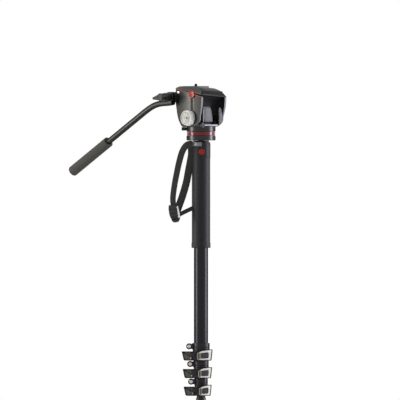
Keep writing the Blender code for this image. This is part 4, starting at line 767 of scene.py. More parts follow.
GRIP_EASE = 1.5 * MM
GRIP_RADIUS = 19.0 * MM
GRIP_WALL = 4.8 * MM
BEAD_HEIGHT = 10.0 * MM
BADGE_RADIUS = 6.3 * MM
BADGE_RIM = 0.8 * MM
GRIP_BADGE = (1.6 * MM, 644.4 * MM)
PALM_REST = (radians(-62), radians(28), 632.0 * MM, 661.5 * MM)
PALM_REST_RISE = 0.55 * MM
PLUG_RADIUS = 13.1 * MM
PLUG_TOP = 664.8 * MM
PLUG_SHELF = 667.7 * MM
STUD_RADIUS = 4.7 * MM
CLIP_THICK = 2.5 * MM
CLIP_SPAN = (radians(-141), radians(-86))
STRAP_STEP = 2.5 * MM
STRAP_WIDTH = 13.4 * MM
STRAP_THICK = 2.0 * MM
STRAP_FRONT = 18.0 * MM
STRAP_BACK = 7.0 * MM
# The strap's outer strand, its return and its tail, as (x, z) in millimetres
STRAP_OUTER = ((-17.6, 660.3), (-24.0, 660.6), (-31.0, 656.8), (-38.5, 645.0), (-44.5, 625.0),
               (-49.8, 601.0), (-54.5, 576.0), (-57.6, 552.0), (-57.2, 538.0), (-54.6, 521.0),
               (-52.0, 505.5))
STRAP_RETURN = ((-52.0, 505.5), (-50.0, 520.0), (-45.3, 533.3), (-40.0, 548.0), (-34.6, 565.0),
                (-29.5, 584.0), (-25.8, 604.0), (-21.6, 626.0), (-19.4, 640.0), (-19.9, 655.0))
STRAP_TAIL = ((-45.0, 515.0), (-31.0, 522.0), (-15.5, 529.4))
STRAP_NARROWED = 0.84
STRAP_SPREAD = 1.13
LOOP_WIDTH = 18.4 * MM
LOOP_LEG = 5.0 * MM
LOOP_TAPER = 0.88
TAIL_WIDTH = 8.6 * MM
BUCKLE_CENTRE = (-53.8, 520.6)
BUCKLE_OUTLINE = ((-12.8, 14.2), (6.8, 12.4), (11.9, -11.6), (9.8, -13.4), (-8.4, -13.4), (-11.4, -6.0),
                  (-13.2, 6.0))
# A pale strip along the buckle's right edge: painted highlight
BUCKLE_HIGHLIGHT_STRIP = ((4.0, 12.2), (6.6, 11.9), (11.4, -11.0), (7.4, -12.6))
# Each slit's left, top, right and bottom, in millimetres
BUCKLE_SLITS = ((-10.2, 6.4, 4.4, 4.2), (-9.0, -1.6, 6.0, -3.8), (-7.0, -8.6, 7.4, -10.6))
BUCKLE_DEEP = 8.0 * MM
BUCKLE_CORNER = 1.6 * MM
SLIT_DEEP = 1.4 * MM
SLIT_CORNER = 0.8 * MM
HIGHLIGHT_STRIP_CORNER = 0.9 * MM


def make_grip():
    low, high = box_of("hand_grip")
    bore = high.x - GRIP_WALL
    bead = low.z + BEAD_HEIGHT
    sleeve = turned([
        (bore, high.z), (GRIP_RADIUS, high.z, GRIP_EASE), (GRIP_RADIUS, bead + GRIP_EASE),
        (high.x, bead - FINE, EASE), (high.x, low.z, GRIP_EASE), (bore, low.z),
    ])
    start, end, rest_low, rest_high = PALM_REST
    outline = arc((0, 0), GRIP_RADIUS + PALM_REST_RISE, start, end, 32)
    outline += arc((0, 0), GRIP_RADIUS - EASE, end, start, 32)
    rest = soften(prism(outline, rest_low, rest_high), PALM_REST_RISE, 3)
    piece("grip_sleeve", gathered(sleeve, rest), "section_1", "rubber", "hand_grip")

    disc = turned([(0, -EASE), (BADGE_RADIUS, -EASE), (BADGE_RADIUS, EASE * 1.4),
                   (BADGE_RADIUS - BADGE_RIM, EASE * 1.7), (0, EASE * 2.2)], steps=SMALL_STEPS)
    across, height = GRIP_BADGE
    out = (GRIP_RADIUS ** 2 - across ** 2) ** 0.5
    piece("grip_badge", disc, "section_1", "badge", place=at(across, -out, height) @ SIDEWAYS)

    low, high = box_of("top_cap")
    plug = turned([(0, low.z), (PLUG_RADIUS, low.z), (PLUG_RADIUS, PLUG_TOP), (high.x, PLUG_TOP),
                   (high.x, PLUG_SHELF), (STUD_RADIUS, PLUG_SHELF), (STUD_RADIUS, high.z), (0, high.z)])
    piece("top_plug", plug, "section_1", "casting", "top_cap")

    inner = GRIP_RADIUS + FINE
    low, high = box_of("strap_bracket")
    outline = arc((0, 0), inner + CLIP_THICK, *CLIP_SPAN, 24) + arc((0, 0), inner, *CLIP_SPAN[::-1], 24)
    clip = soften(prism(outline, low.z, high.z), EASE * 1.4, 3)
    piece("strap_clip", clip, "section_1", "bracket", "strap_bracket")


def webbing(points, width, thick, depth, narrowed=1.0):
    """A flat woven band in the XZ plane, its faces front and back; it can end narrower than it starts."""
    spots = smooth_line(mm(points), STRAP_STEP)
    half = thick / 2
    section = filleted(corners(-width / 2, -half, width / 2, half), half * 0.9, steps=3)
    bm = bmesh.new()
    uv = bm.loops.layers.uv.new("weave")
    rings, lengths = [], [0.0]
    for a, b in zip(spots, spots[1:]):
        lengths.append(lengths[-1] + (b - a).length)
    for i, spot in enumerate(spots):
        run = (spots[min(i + 1, len(spots) - 1)] - spots[max(i - 1, 0)]).normalized()
        side = Vector((-run.y, run.x)) * (1 + (narrowed - 1) * i / (len(spots) - 1))
        rings.append([bm.verts.new((spot.x + side.x * x, -depth + y, spot.y + side.y * x))
                      for x, y in section])
    count = len(section)
    around = {vert: (section[k][0], along) for ring, along in zip(rings, lengths)
              for k, vert in enumerate(ring)}
    for ring, other in zip(rings, rings[1:]):
        for k in range(count):
            bm.faces.new((ring[k], ring[(k + 1) % count], other[(k + 1) % count], other[k]))
    bm.faces.new(rings[0])
    bm.faces.new(rings[-1])
    for face in bm.faces:
        for loop in face.loops:
            loop[uv].uv = around[loop.vert]
    bmesh.ops.recalc_face_normals(bm, faces=bm.faces)
    return bm


def strap_loop(front, back):
    """The strap's turn at its end: a U from its front strand to its back one, its end rounded off."""
    outside = (front - back) / 2 + STRAP_THICK / 2
    inside = outside - STRAP_THICK
    outline = [(-outside, LOOP_LEG), *arc((0, 0), outside, pi, 2 * pi, 24), (outside, LOOP_LEG),
               (inside, LOOP_LEG), *arc((0, 0), inside, 2 * pi, pi, 24), (-inside, LOOP_LEG)]
    loop = soften(prism(outline, -LOOP_WIDTH / 2, LOOP_WIDTH / 2), EASE)
    for vert in loop.verts:
        below = max(0.0, LOOP_LEG / 2 - vert.co.y) / (outside + LOOP_LEG / 2)
        vert.co.z *= (1 - LOOP_TAPER * min(1.0, below) ** 2) ** 0.5
    above, lower = [Vector(point) * MM for point in STRAP_OUTER[-2:]]
    lean = atan2(above.x - lower.x, above.y - lower.y)
    upright = Matrix.Rotation(pi / 2, 4, "Z") @ Matrix.Rotation(pi / 2, 4, "X")
    return moved(loop, at(lower.x, -(front + back) / 2, lower.y) @ Matrix.Rotation(lean, 4, "Y") @ upright)


def make_strap():
    front = STRAP_FRONT - STRAP_THICK / 2
    back = STRAP_BACK - STRAP_THICK / 2
    strands = (webbing(STRAP_OUTER, STRAP_WIDTH, STRAP_THICK, front, STRAP_NARROWED),
               webbing(STRAP_RETURN, STRAP_WIDTH * STRAP_SPREAD, STRAP_THICK, back),
               webbing(STRAP_TAIL, TAIL_WIDTH, STRAP_THICK * 0.7, back))
    piece("wrist_webbing", gathered(*strands, strap_loop(front, back)), "section_1", "webbing",
          "hand_strap")

    across, height = BUCKLE_CENTRE
    place = at(across * MM, -front, height * MM) @ SIDEWAYS
    face = BUCKLE_DEEP / 2
    body = soften(prism(filleted(mm(BUCKLE_OUTLINE), BUCKLE_CORNER), -face, face), EASE * 2, 3)
    slits = []
    for left, upper, right, lower in BUCKLE_SLITS:
        slit = filleted(mm(corners(left, lower, right, upper)), SLIT_CORNER)
        slits.append(prism(slit, face - SLIT_DEEP, BUCKLE_DEEP))
    piece("ladder_buckle", cut(body, *slits), "section_1", "buckle", "strap_buckle", place)
    # The buckle's lit right edge as a pale strip: painted highlight
    highlight_strip = prism(filleted(mm(BUCKLE_HIGHLIGHT_STRIP), HIGHLIGHT_STRIP_CORNER), face - EASE, face + EASE)
    piece("buckle_edge_painted_highlight", soften(highlight_strip, FINE), "section_1", "flank", place=place)


# Head: pan base

DISC_RADIUS = 30.0 * MM
DISC_EDGE = ROUND
DISC_NECK = 12.0 * MM
SOCKET_RADIUS = 5.0 * MM
SOCKET_DEEP = 9.0 * MM
RING_BORE = 20.0 * MM
TURN_BORE = 12.3 * MM
TURN_FLOOR = 694.8 * MM
TURN_MOUTH = 11.0 * MM
TURN_TOP = 697.0 * MM
PEDESTAL_LONG = 23.0 * MM
PEDESTAL_WIDE = 28.5 * MM
PEDESTAL_CORNER = 4.0 * MM
PEDESTAL_LOW = 697.3 * MM
PEDESTAL_TOP = 701.5 * MM
KNOB_RADIUS = 3.6 * MM
KNOB_START = 30.3 * MM
KNOB_SHANK = (2.0 * MM, 24.0 * MM, 31.0 * MM)
KNOB_KNURL = (0.35 * MM, 16)
DRAG_RADIUS = 5.6 * MM
DRAG_START = 23.6 * MM
DRAG_LENGTH = 6.0 * MM
DRAG_SIDE = 23.5 * MM
DRAG_EDGE = 0.9 * MM
DRAG_KNURL = (0.4 * MM, 18)
DRAG_SHANK = (1.4 * MM, 17.0 * MM)
DRAG_CAP = 4.2 * MM
AXLE_BORE = 5.3 * MM
AXLE_REACH = 30.0 * MM
HOUSING_CHAMFER = 4.2 * MM
HOUSING_EASE = 0.8 * MM
RECESS_TOP = 706.0 * MM
# The tilt housing's heights with its half length and its two half widths, in millimetres
HOUSING_LEVELS = ((700.6, 17.0, 10.0, 13.8), (705.0, 17.0, 10.0, 13.8), (706.2, 20.0, 12.8, 16.8),
                  (714.0, 20.0, 12.8, 15.6), (725.0, 20.0, 12.6, 13.6), (733.5, 20.0, 11.6, 11.4),
                  (737.6, 19.2, 10.6, 8.6), (740.0, 17.2, 9.2, 6.4), (741.0, 13.0, 7.6, 5.0))


def make_pan_base():
    low, high = box_of("head_base")
    rim = box_of("red_ring")[0].z - FINE
    disc = turned([
        (0, low.z + SOCKET_DEEP), (SOCKET_RADIUS, low.z + SOCKET_DEEP), (SOCKET_RADIUS, low.z),
        (DISC_RADIUS, low.z, DISC_EDGE), (DISC_RADIUS, rim, DISC_EDGE / 2), (DISC_NECK, rim),
        (DISC_NECK, high.z), (0, high.z),
    ])
    piece("pan_disc", disc, "section_1", "disc", "head_base")

    low, high = box_of("red_ring")
    ring = turned(corners(RING_BORE, high.z, high.x, low.z), EASE)
    piece("anodised_ring", ring, "section_1", "red", "red_ring")

    low, high = box_of("turntable")
    table = turned([
        (TURN_BORE, TURN_FLOOR), (TURN_BORE, low.z), (DISC_RADIUS, low.z, DISC_EDGE),
        (DISC_RADIUS, TURN_TOP, DISC_EDGE), (TURN_MOUTH, TURN_TOP),
    ])
    foot = corners(-PEDESTAL_LONG, -PEDESTAL_WIDE, PEDESTAL_LONG, PEDESTAL_WIDE)
    foot = prism(filleted(foot, PEDESTAL_CORNER), TURN_TOP - EASE, PEDESTAL_TOP)
    # The pedestal's sides painted paler: painted highlight
    table = painted(gathered(table, moved(soften(foot, SOFT, 3), HEAD)),
                    lambda centre, normal: centre.z > PEDESTAL_LOW and normal.xy.length > 0.5)
    piece("pan_turntable", table, "turntable", "disc machined", "turntable")

    loops = []
    for height, *halves in HOUSING_LEVELS:
        half, near, far = [value * MM for value in halves]
        outline = filleted(corners(half, -near, -half, far), HOUSING_CHAMFER, steps=3)
        loops.append([(x, y, height * MM) for x, y in outline])
    housing = soften(skin(loops), HOUSING_EASE, 2, radians(50))
    bore = lathe(corners(0, -AXLE_REACH, AXLE_BORE, AXLE_REACH), SMALL_STEPS)
    housing = cut(housing, moved(bore, at(0, 0, TILT_HEIGHT) @ SIDEWAYS))
    # Faces turned towards the camera painted pale: painted highlight
    painted(housing, lambda centre, normal: normal.dot(Vector((1, -1, 0))) > 1.3)
    # The undercut painted near black: painted shade
    painted(housing, lambda centre, normal: centre.z < RECESS_TOP, 2)
    piece("tilt_housing", housing, "turntable", "housing flank lining", place=HEAD)

    low, high = box_of("pan_lock_knob")
    grip = soften(prism(cog(KNOB_RADIUS, *KNOB_KNURL), KNOB_START, -low.x), FINE, 1, KNURL_FROM)
    radius, start, end = KNOB_SHANK
    shank = lathe(corners(0, start, radius, end), SMALL_STEPS)
    turn = at(0, 0, (low.z + high.z) / 2) @ Matrix.Rotation(-pi / 2, 4, "Y")
    piece("pan_lock_thumbscrew", gathered(grip, shank), "pan_lock", "knob", "pan_lock_knob", turn)

    low, high = box_of("pan_drag_knob")
    end = DRAG_START + DRAG_LENGTH
    wheel = soften(prism(cog(DRAG_RADIUS, *DRAG_KNURL), DRAG_START, end), DRAG_EDGE, 3, KNURL_FROM)
    radius, start = DRAG_SHANK
    cap = turned([(0, start), (radius, start), (radius, DRAG_START + MM), (DRAG_CAP, DRAG_START + MM),
                  (DRAG_CAP, end), (0, end)], steps=SMALL_STEPS)
    turn = HEAD @ at(0, -DRAG_SIDE, (low.z + high.z) / 2) @ Matrix.Rotation(pi / 2, 4, "Y")
    piece("pan_drag_wheel", gathered(wheel, cap), "pan_drag", "knob", "pan_drag_knob", turn)


# Head: tilting part, in the tilt axis's own frame

PANEL_OUT = 36.5 * MM
PANEL_THICK = 5.0 * MM
PANEL_SHEET = 1.6 * MM
DECK_REAR = -39.0 * MM
DECK_FRONT = 39.0 * MM
SEAM_REAR = 61.2 * MM
SEAM_FRONT = 42.8 * MM
PANEL_LOW = -18.4 * MM
# A panel's rear and front edges as (forward, up) in millimetres
PANEL_REAR = ((-17.5, -18.4), (-21.2, -16.4), (-22.8, -13.3), (-24.4, -10.2), (-27.6, -6.0), (-31.0, 3.0),
              (-33.8, 17.0), (-37.0, 28.0), (-38.0, 62.0))
PANEL_FRONT = ((10.0, -18.4), (19.0, -16.2), (24.0, -12.6), (29.0, -8.2), (31.0, -2.0), (31.5, 6.0),
               (34.6, 19.0), (36.6, 31.0), (37.6, 44.0))
PANEL_GRID = (56, 48)
PANEL_BOW = 210.0 * MM
PANEL_MIDDLE = -3.0 * MM
PANEL_SUNK_MOST = 4.2 * MM
PANEL_LEAN = 0.7 * tan(radians(4.2))
LEAN_TOP = 24.0 * MM
PANEL_WIDER = 2.6 * MM
PANEL_SWELL = 2.2 * MM
SWELL_TOP = 34.0 * MM
NEAR_SET_BACK = 0.4 * MM
FLANK_START = 21.8 * MM
FLANK_WIDTH = 8.4 * MM
FLANK_MIDDLE = 4.2 * MM
FLANK_HALF = 17.8 * MM
FLANK_RISE = 2.4 * MM
FLANK_EASE = 2.0 * MM
SWEEP_GAP = 0.2 * MM
EDGE_LOW = -9.0 * MM
ROLL_HEIGHT = 4.5 * MM
ROLL_RADIUS = 6.0 * MM
GROOVE_START = 4.0 * MM
GROOVE_END = 12.4 * MM
GROOVE_SINK = 1.9 * MM
FRONT_FLARE = 2.3 * MM
OUTSIDE = 60.0 * MM
ROSETTE = (-45.0 * MM, 43.0 * MM)
AT_ROSETTE = at(ROSETTE[0], 0, ROSETTE[1])
ROSETTE_RADIUS = 11.0 * MM
ROSETTE_FLOOR = 20.0 * MM
AXLE_RADIUS = 5.0 * MM
DIAL_RADIUS = 16.0 * MM
DIAL_SEAT = 33.4 * MM
DIAL_FACE = 45.0 * MM
DIAL_SHOULDER = 38.5 * MM
DIAL_TOP_RADIUS = 14.8 * MM
DIAL_TOP_EDGE = 0.9 * MM
DIAL_INNER = 12.6 * MM
DIAL_DISH = 2.4 * MM
DISH_SLOPE = 1.2
DIAL_EASE = 0.12 * MM
DIAL_GROOVES = (12.0, 8.6, 5.6)
# A dial groove's corners: how far inside its outer radius and how far below the face, in millimetres
DIAL_GROOVE = ((0.0, 0.0), (0.4, 0.7), (1.3, 0.8), (1.7, 0.2))
DIAL_RIM = 0.4 * MM
DIAL_EYE = 2.6 * MM
DIAL_CORE = 1.4 * MM
CORE_RADIUS = 1.3 * MM
CORE_DEEP = 4.0 * MM
HANDLE_THICK = 5.0 * MM
HANDLE_LONG = 34.0 * MM
HANDLE_TURN = radians(215)
HANDLE_RADII = (8.0 * MM, 4.3 * MM)
HANDLE_HUB = 9.0 * MM


def seam_height(forward):
    share = (forward - DECK_REAR) / (DECK_FRONT - DECK_REAR)
    return SEAM_REAR + (SEAM_FRONT - SEAM_REAR) * share


def edge_at(points, height):
    """How far forward an edge lies at a height, along its line of points."""
    for (x1, z1), (x2, z2) in zip(points, points[1:]):
        if height <= z2 * MM:
            share = max(0.0, (height - z1 * MM) / ((z2 - z1) * MM))
            return (x1 + (x2 - x1) * share) * MM
    return points[-1][0] * MM


def ramp(value, start, end):
    """A smooth step from 0 to 1 between two places."""
    share = min(1.0, max(0.0, (value - start) / (end - start)))
    return share * share * (3 - 2 * share)


def panel_face(forward, height):
    """How far out a panel's face stands: bowed, drawn in below, and grooved ahead of the middle."""
    below = max(0.0, LEAN_TOP - height) * PANEL_LEAN
    bow = (min(forward, GROOVE_END) - PANEL_MIDDLE) ** 2 / 2 / PANEL_BOW
    groove = GROOVE_SINK * ramp(forward, GROOVE_START, GROOVE_END)
    share = max(0.0, forward - GROOVE_END) / (DECK_FRONT - GROOVE_END)
    flare = FRONT_FLARE * share * (1 + share) / 2
    roll = max(0.0, ROLL_HEIGHT - height + PANEL_LOW) ** 2 / 2 / ROLL_RADIUS
    return PANEL_OUT - below - roll - min(PANEL_SUNK_MOST, bow + groove - flare)


def swell(height):
    """How much of a panel's extra width it has at a height: none at its top and bottom."""
    share = (height - PANEL_LOW) / (SWELL_TOP - PANEL_LOW)
    return sin(pi * min(1.0, max(0.0, share))) ** 0.5


def flank_width(height):
    """The width of the crescent inside a panel, painted pale as a painted highlight, at a height."""
    share = (height - FLANK_MIDDLE) / FLANK_HALF
    return FLANK_WIDTH * max(0.0, 1 - share ** 2) ** 0.5


def flank_share(place):
    """How far the crescent near a panel's front edge stands in: most at its rear, none at its front."""
    width = flank_width(place.z)
    if not width:
        return 0.0
    left = (FLANK_START + width - place.x) / FLANK_WIDTH
    return ramp(place.x, FLANK_START - FLANK_EASE, FLANK_START) * max(0.0, min(1.0, left))


def panel_shell(side):
    """A panel from a grid laid over its outline, with its inside face and its edges."""
    bm = bmesh.new()
    columns, rows = PANEL_GRID
    bmesh.ops.create_grid(bm, x_segments=columns, y_segments=rows, size=0.5)
    for vert in bm.verts:
        u, v = vert.co.x + 0.5, vert.co.y + 0.5
        height = PANEL_LOW + (seam_height(0) - PANEL_LOW) * v
        rear = edge_at(PANEL_REAR, height) - PANEL_WIDER - (PANEL_SWELL if side > 0 else 0) * swell(height)
        front = edge_at(PANEL_FRONT, height) - (NEAR_SET_BACK if side > 0 else 0)
        forward = rear * (1 - u) + front * u
        top = seam_height(forward) - FINE
        height = PANEL_LOW + (top - PANEL_LOW) * v
        vert.co = (forward, -panel_face(forward, height) * side, height)
    grown = bmesh.ops.extrude_face_region(bm, geom=bm.faces[:], use_keep_orig=True)["geom"]
    for vert in grown:
        if isinstance(vert, bmesh.types.BMVert):
            inner = min(PANEL_OUT - PANEL_THICK, abs(vert.co.y) - PANEL_SHEET)
            vert.co.y = -max(DISC_RADIUS + SWEEP_GAP, inner - FLANK_RISE * flank_share(vert.co)) * side
    return closed(bm)


def faces_inside(centre, normal):
    return normal.y * centre.y < -0.3 * abs(centre.y)


def faces_painted_highlight(centre, normal):
    """The crescent on a panel's inside, near its front edge, painted pale as a painted highlight."""
    return faces_inside(centre, normal) and 0 < centre.x - FLANK_START < flank_width(centre.z)


def make_panels():
    for node, side in (("dial_side_panel", 1), ("lock_side_panel", -1)):
        turn = SIDEWAYS if side > 0 else OTHER_WAY
        seat = lathe(corners(0, DIAL_SEAT, DIAL_RADIUS + EASE, OUTSIDE))
        boss = lathe(corners(0, ROSETTE_FLOOR, ROSETTE_RADIUS + EASE, OUTSIDE))
        shell = cut(panel_shell(side), moved(seat, turn), moved(boss, AT_ROSETTE @ turn))
        shell = soften(shell, TIGHT, 2, radians(55))
        # Panel insides painted near black: painted shade
        painted(shell, faces_inside)
        # A crescent inside near the front painted pale: painted highlight
        painted(shell, faces_painted_highlight, 2)
        # Front-facing edges painted mid grey: painted highlight
        painted(shell, lambda centre, normal: normal.x > 0.7 and centre.z > EDGE_LOW, 3)
        piece(node.replace("panel", "cover"), shell, "tilt_head", "panel lining flank edge", node,
              TILT)

    axle = turned(corners(0, -DIAL_SEAT, AXLE_RADIUS, DIAL_SEAT), EASE, SMALL_STEPS)
    piece("tilt_spindle", moved(axle, SIDEWAYS), "tilt_head", "steel", "tilt_axle", TILT)


def make_dial():
    low = DIAL_SEAT + FINE
    face = DIAL_FACE
    floor = face - DIAL_DISH
    profile = [(0, low), (DIAL_RADIUS, low), (DIAL_RADIUS, DIAL_SHOULDER),
               (DIAL_TOP_RADIUS, face, DIAL_TOP_EDGE), (DIAL_INNER, face, EASE)]
    for outer in DIAL_GROOVES:
        dished = face - DIAL_DISH * (1 - outer * MM / DIAL_RADIUS) * DISH_SLOPE
        profile += [((outer - inward) * MM, dished - below * MM) for inward, below in DIAL_GROOVE]
    profile += [(DIAL_EYE, floor), (DIAL_CORE, floor - MM), (0, floor - MM)]
    dial = turned(profile, DIAL_EASE, corner=2)
    # The dial's rim painted near white: painted highlight
    painted(dial, lambda centre, normal: centre.xy.length > DIAL_TOP_RADIUS - DIAL_RIM)
    piece("counterbalance_dial", moved(dial, SIDEWAYS), "dial", "silver dial_rim", "tilt_dial",
          TILT)
    core = turned([(0, face - CORE_DEEP), (CORE_RADIUS, face - CORE_DEEP), (CORE_RADIUS, floor - EASE),
                   (0, floor - FINE)], steps=SMALL_STEPS)
    piece("dial_centre", moved(core, SIDEWAYS), "dial", "dark_steel", place=TILT)

    inner = PANEL_OUT + FINE
    outer = inner + HANDLE_THICK
    tip = (HANDLE_LONG * cos(HANDLE_TURN), HANDLE_LONG * sin(HANDLE_TURN))
    root_radius, tip_radius = HANDLE_RADII
    arm = soften(prism(capsule((0, 0), root_radius, tip, tip_radius), -outer, -inner), ROUND, 3)
    hub = turned(corners(0, low, HANDLE_HUB, outer - EASE), EASE)
    lever = gathered(moved(arm, SIDEWAYS), moved(hub, OTHER_WAY))
    piece("tilt_lock_handle", lever, "tilt_lock", "knob", "tilt_lock_lever", TILT)


# Head: deck and camera plate

DECK_LOW = 38.5 * MM
DECK_CORNER = 2.0 * MM
RIM_CORNER = 3.0 * MM
DECK_NOSE = (9.0 * MM, 4.0 * MM)
# Rises of the rear and front over the seam and the far side's drop, in millimetres
DECK_RIMS = ((0.0, 5.0, 4.8), (0.8, 6.8, 6.0))
# Set-in, front, half width, rear and front heights, corner and drop, in millimetres
VISOR_FOOT = (0.2, 34.4, 29.2, 64.6, 56.2, 4.0, 2.5)
VISOR_TOP = (1.0, 14.5, 24.2, 65.7, 65.0, 3.0, 3.6)
VISOR_START = 21.0 * MM
VISOR_STEPS = 5
VISOR_BULGE = 0.7 * MM
OVERHEAD = 80.0 * MM
POCKET = mm(corners(-35.8, -18.3, 5.8, 18.3))
POCKET_FLOOR = 59.7 * MM
HINGE_BORE = (5.8 * MM, 48.3 * MM)
LEVER_WAY = (0.3 * MM, 50.9 * MM)
# The boss of each rosette: where it starts, its stepped bore's radii and the bore's floor
BOSS_START = 22.0 * MM
BOSS_EDGE = 8.4 * MM
BOSS_STEP = 7.6 * MM
BOSS_BORE = 4.3 * MM
BOSS_FLOOR = 28.2 * MM
SEAM_START = DECK_REAR + 1.5 * MM
SEAM_END = 37.0 * MM
SEAM_RADIUS = 0.62 * MM
SEAM_POINTS = 24
# Profiles as (radius, out) and places as (forward, sunk, up), in millimetres
DECK_BADGE = ((0, -1.0), (7.6, -1.0), (7.6, 0.9), (6.6, 1.2), (0, 1.6))
BADGE_PLACE = (9.6, 0.2, 48.8)
COVER_SCREW = ((0, -1.0), (3.3, -1.0), (3.3, 0.9), (1.4, 1.2), (1.2, 0.4), (0, 0.4))
SCREW_PLACE = (-32.0, 2.2, 52.3)
PLATE_LEVER_PIVOT = (24.0 * MM, 31.0 * MM)
PLATE_LEVER_END = (4.0 * MM, 40.5 * MM)
PLATE_LEVER_RADII = (5.5 * MM, 3.0 * MM)
PLATE_LEVER_LEVELS = (51.3 * MM, 55.3 * MM)
PLATE_LEVER_SHRUNK = -0.4 * MM
PLATE_LEVER_BOSS = (5.5 * MM, 48.6 * MM, 54.6 * MM)
PLATE_MIDDLE = -15.0 * MM
PLATE_OUTLINE = mm(corners(-35.5, -18.0, 5.5, 18.0))
PLATE_LEVELS = (60.0 * MM, 66.0 * MM)
PLATE_WAY = mm(((0, 55.0), (8.3, 55.0), (8.3, 62.8), (3.4, 62.8), (3.4, 70.0), (0, 70.0)))
THREAD_HEAD = mm(((0, 60.0), (8.0, 60.0), (8.0, 62.2), (3.1, 62.2)))
THREAD_END = mm(((2.6, 70.3), (2.0, 70.8), (0, 70.8)))
THREAD_LEVELS = (66.0 * MM, 69.6 * MM)
THREAD_RADII = (3.1 * MM, 2.6 * MM)
THREAD_RISE = 0.5 * MM
THREAD_PITCH = 0.9 * MM


def deck_loop(rear, front, half, heights, corner, drop=0.0):
    """A rounded rectangle with the heights of its rear and front ends, and its far corner's drop."""
    made = []
    for x, y in filleted(corners(rear, -half, front, half), corner, steps=6):
        share = (x - rear) / (front - rear)
        made.append((x, y, heights[0] + (heights[1] - heights[0] - drop * (y + half) / (2 * half)) * share))
    return made


def lever_plan(grown):
    """The camera plate lever from above, about its pivot."""
    end = (PLATE_LEVER_END[0] - PLATE_LEVER_PIVOT[0], PLATE_LEVER_END[1] - PLATE_LEVER_PIVOT[1])
    root_radius, end_radius = PLATE_LEVER_RADII
    return capsule((0, 0), root_radius + grown, end, end_radius + grown)


def deck_body():
    inside = PANEL_OUT - PANEL_THICK - FINE
    rear, front = DECK_REAR + MM, DECK_FRONT - MM
    under, nose = DECK_NOSE
    loops = [
        deck_loop(rear, front - under, inside, (DECK_LOW, DECK_LOW), DECK_CORNER),
        deck_loop(rear, front - nose, inside, (seam_height(rear) - MM, seam_height(front) + MM),
                  DECK_CORNER, MM),
    ]
    for rear_rise, front_rise, drop in mm(DECK_RIMS):
        loops.append(deck_loop(DECK_REAR, DECK_FRONT, PANEL_OUT,
                               (SEAM_REAR + rear_rise, SEAM_FRONT + front_rise), RIM_CORNER, drop))
    for i in range(VISOR_STEPS + 1):
        share = i / VISOR_STEPS
        bulge = VISOR_BULGE * 4 * share * (1 - share)
        inset, front, half, rear_height, front_height, corner, drop = [
            (foot + (top - foot) * share) * MM for foot, top in zip(VISOR_FOOT, VISOR_TOP)]
        loops.append(deck_loop(DECK_REAR + inset, front, half, (rear_height, front_height + bulge), corner,
                               drop))
    # The front slope painted near black: painted shade
    return painted(soften(skin(loops), EASE, 2, radians(28)),
                   lambda centre, normal: centre.x > VISOR_START and normal.x > 0.2)


def make_deck():
    pivot = at(*PLATE_LEVER_PIVOT, 0)
    radius, floor = HINGE_BORE
    hinge = lathe(corners(0, floor, radius, OVERHEAD))
    room, floor = LEVER_WAY
    body = cut(deck_body(), prism(filleted(POCKET, ROUND), POCKET_FLOOR, OVERHEAD), moved(hinge, pivot),
               moved(prism(lever_plan(room), floor, OVERHEAD), pivot))
    parts = [body]
    for turn in (SIDEWAYS, OTHER_WAY):
        boss = turned([(0, BOSS_START), (ROSETTE_RADIUS, BOSS_START), (ROSETTE_RADIUS, PANEL_OUT),
                       (BOSS_EDGE, PANEL_OUT), (BOSS_STEP, PANEL_OUT - MM), (BOSS_BORE, PANEL_OUT - MM),
                       (BOSS_BORE, BOSS_FLOOR), (0, BOSS_FLOOR)])
        parts.append(moved(boss, AT_ROSETTE @ turn))
    piece("head_deck", gathered(*parts), "tilt_head", "deck visor", "deck", TILT)

    for name, side in (("dial_side_seam", 1), ("lock_side_seam", -1)):
        points = [Vector((x, -side * (PANEL_OUT - EASE * 0.6), seam_height(x)))
                  for x in (SEAM_START + (SEAM_END - SEAM_START) * i / SEAM_POINTS
                            for i in range(SEAM_POINTS + 1))]
        piece(name, swept(points, [SEAM_RADIUS] * len(points), 12), "tilt_head", "seam", place=TILT)

    for name, profile, spot, steps, paint, slot in (
            ("deck_badge", DECK_BADGE, BADGE_PLACE, LATHE_STEPS, "badge", "red"),
            ("cover_screw", COVER_SCREW, SCREW_PLACE, SMALL_STEPS, "steel", "steel")):
        forward, sunk_by, up = [value * MM for value in spot]
        place = TILT @ at(forward, sunk_by - PANEL_OUT, up) @ SIDEWAYS
        piece(name, turned(mm(profile), steps=steps), "tilt_head", paint, place=place)


def make_plate():
    middle = at(PLATE_MIDDLE, 0, 0)
    plate = soften(prism(filleted(PLATE_OUTLINE, MM), *PLATE_LEVELS), TIGHT, 2)
    piece("quick_release_plate", cut(plate, moved(lathe(PLATE_WAY), middle)), "plate", "plate",
          "camera_plate", TILT)

    thread = list(THREAD_HEAD)
    height, top = THREAD_LEVELS
    crest, root = THREAD_RADII
    while height < top:
        thread += [(crest, height), (root, height + THREAD_RISE)]
        height += THREAD_PITCH
    piece("camera_thread", lathe(thread + THREAD_END, SMALL_STEPS), "plate_screw", "dark_steel",
          "camera_screw", TILT @ middle)

    arm = soften(prism(lever_plan(PLATE_LEVER_SHRUNK), *PLATE_LEVER_LEVELS), ROUND, 3)
    radius, low, high = PLATE_LEVER_BOSS
    boss = turned(corners(0, low, radius, high), EASE, SMALL_STEPS)
    piece("plate_release_lever", gathered(arm, boss), "plate_lock", "knob", "plate_lever",
          TILT @ at(*PLATE_LEVER_PIVOT, 0))


# Pan bar

BAR_RADIUS = 6.2 * MM
BAR_PLANE = 43.0 * MM
BAR_STEP = 3.0 * MM
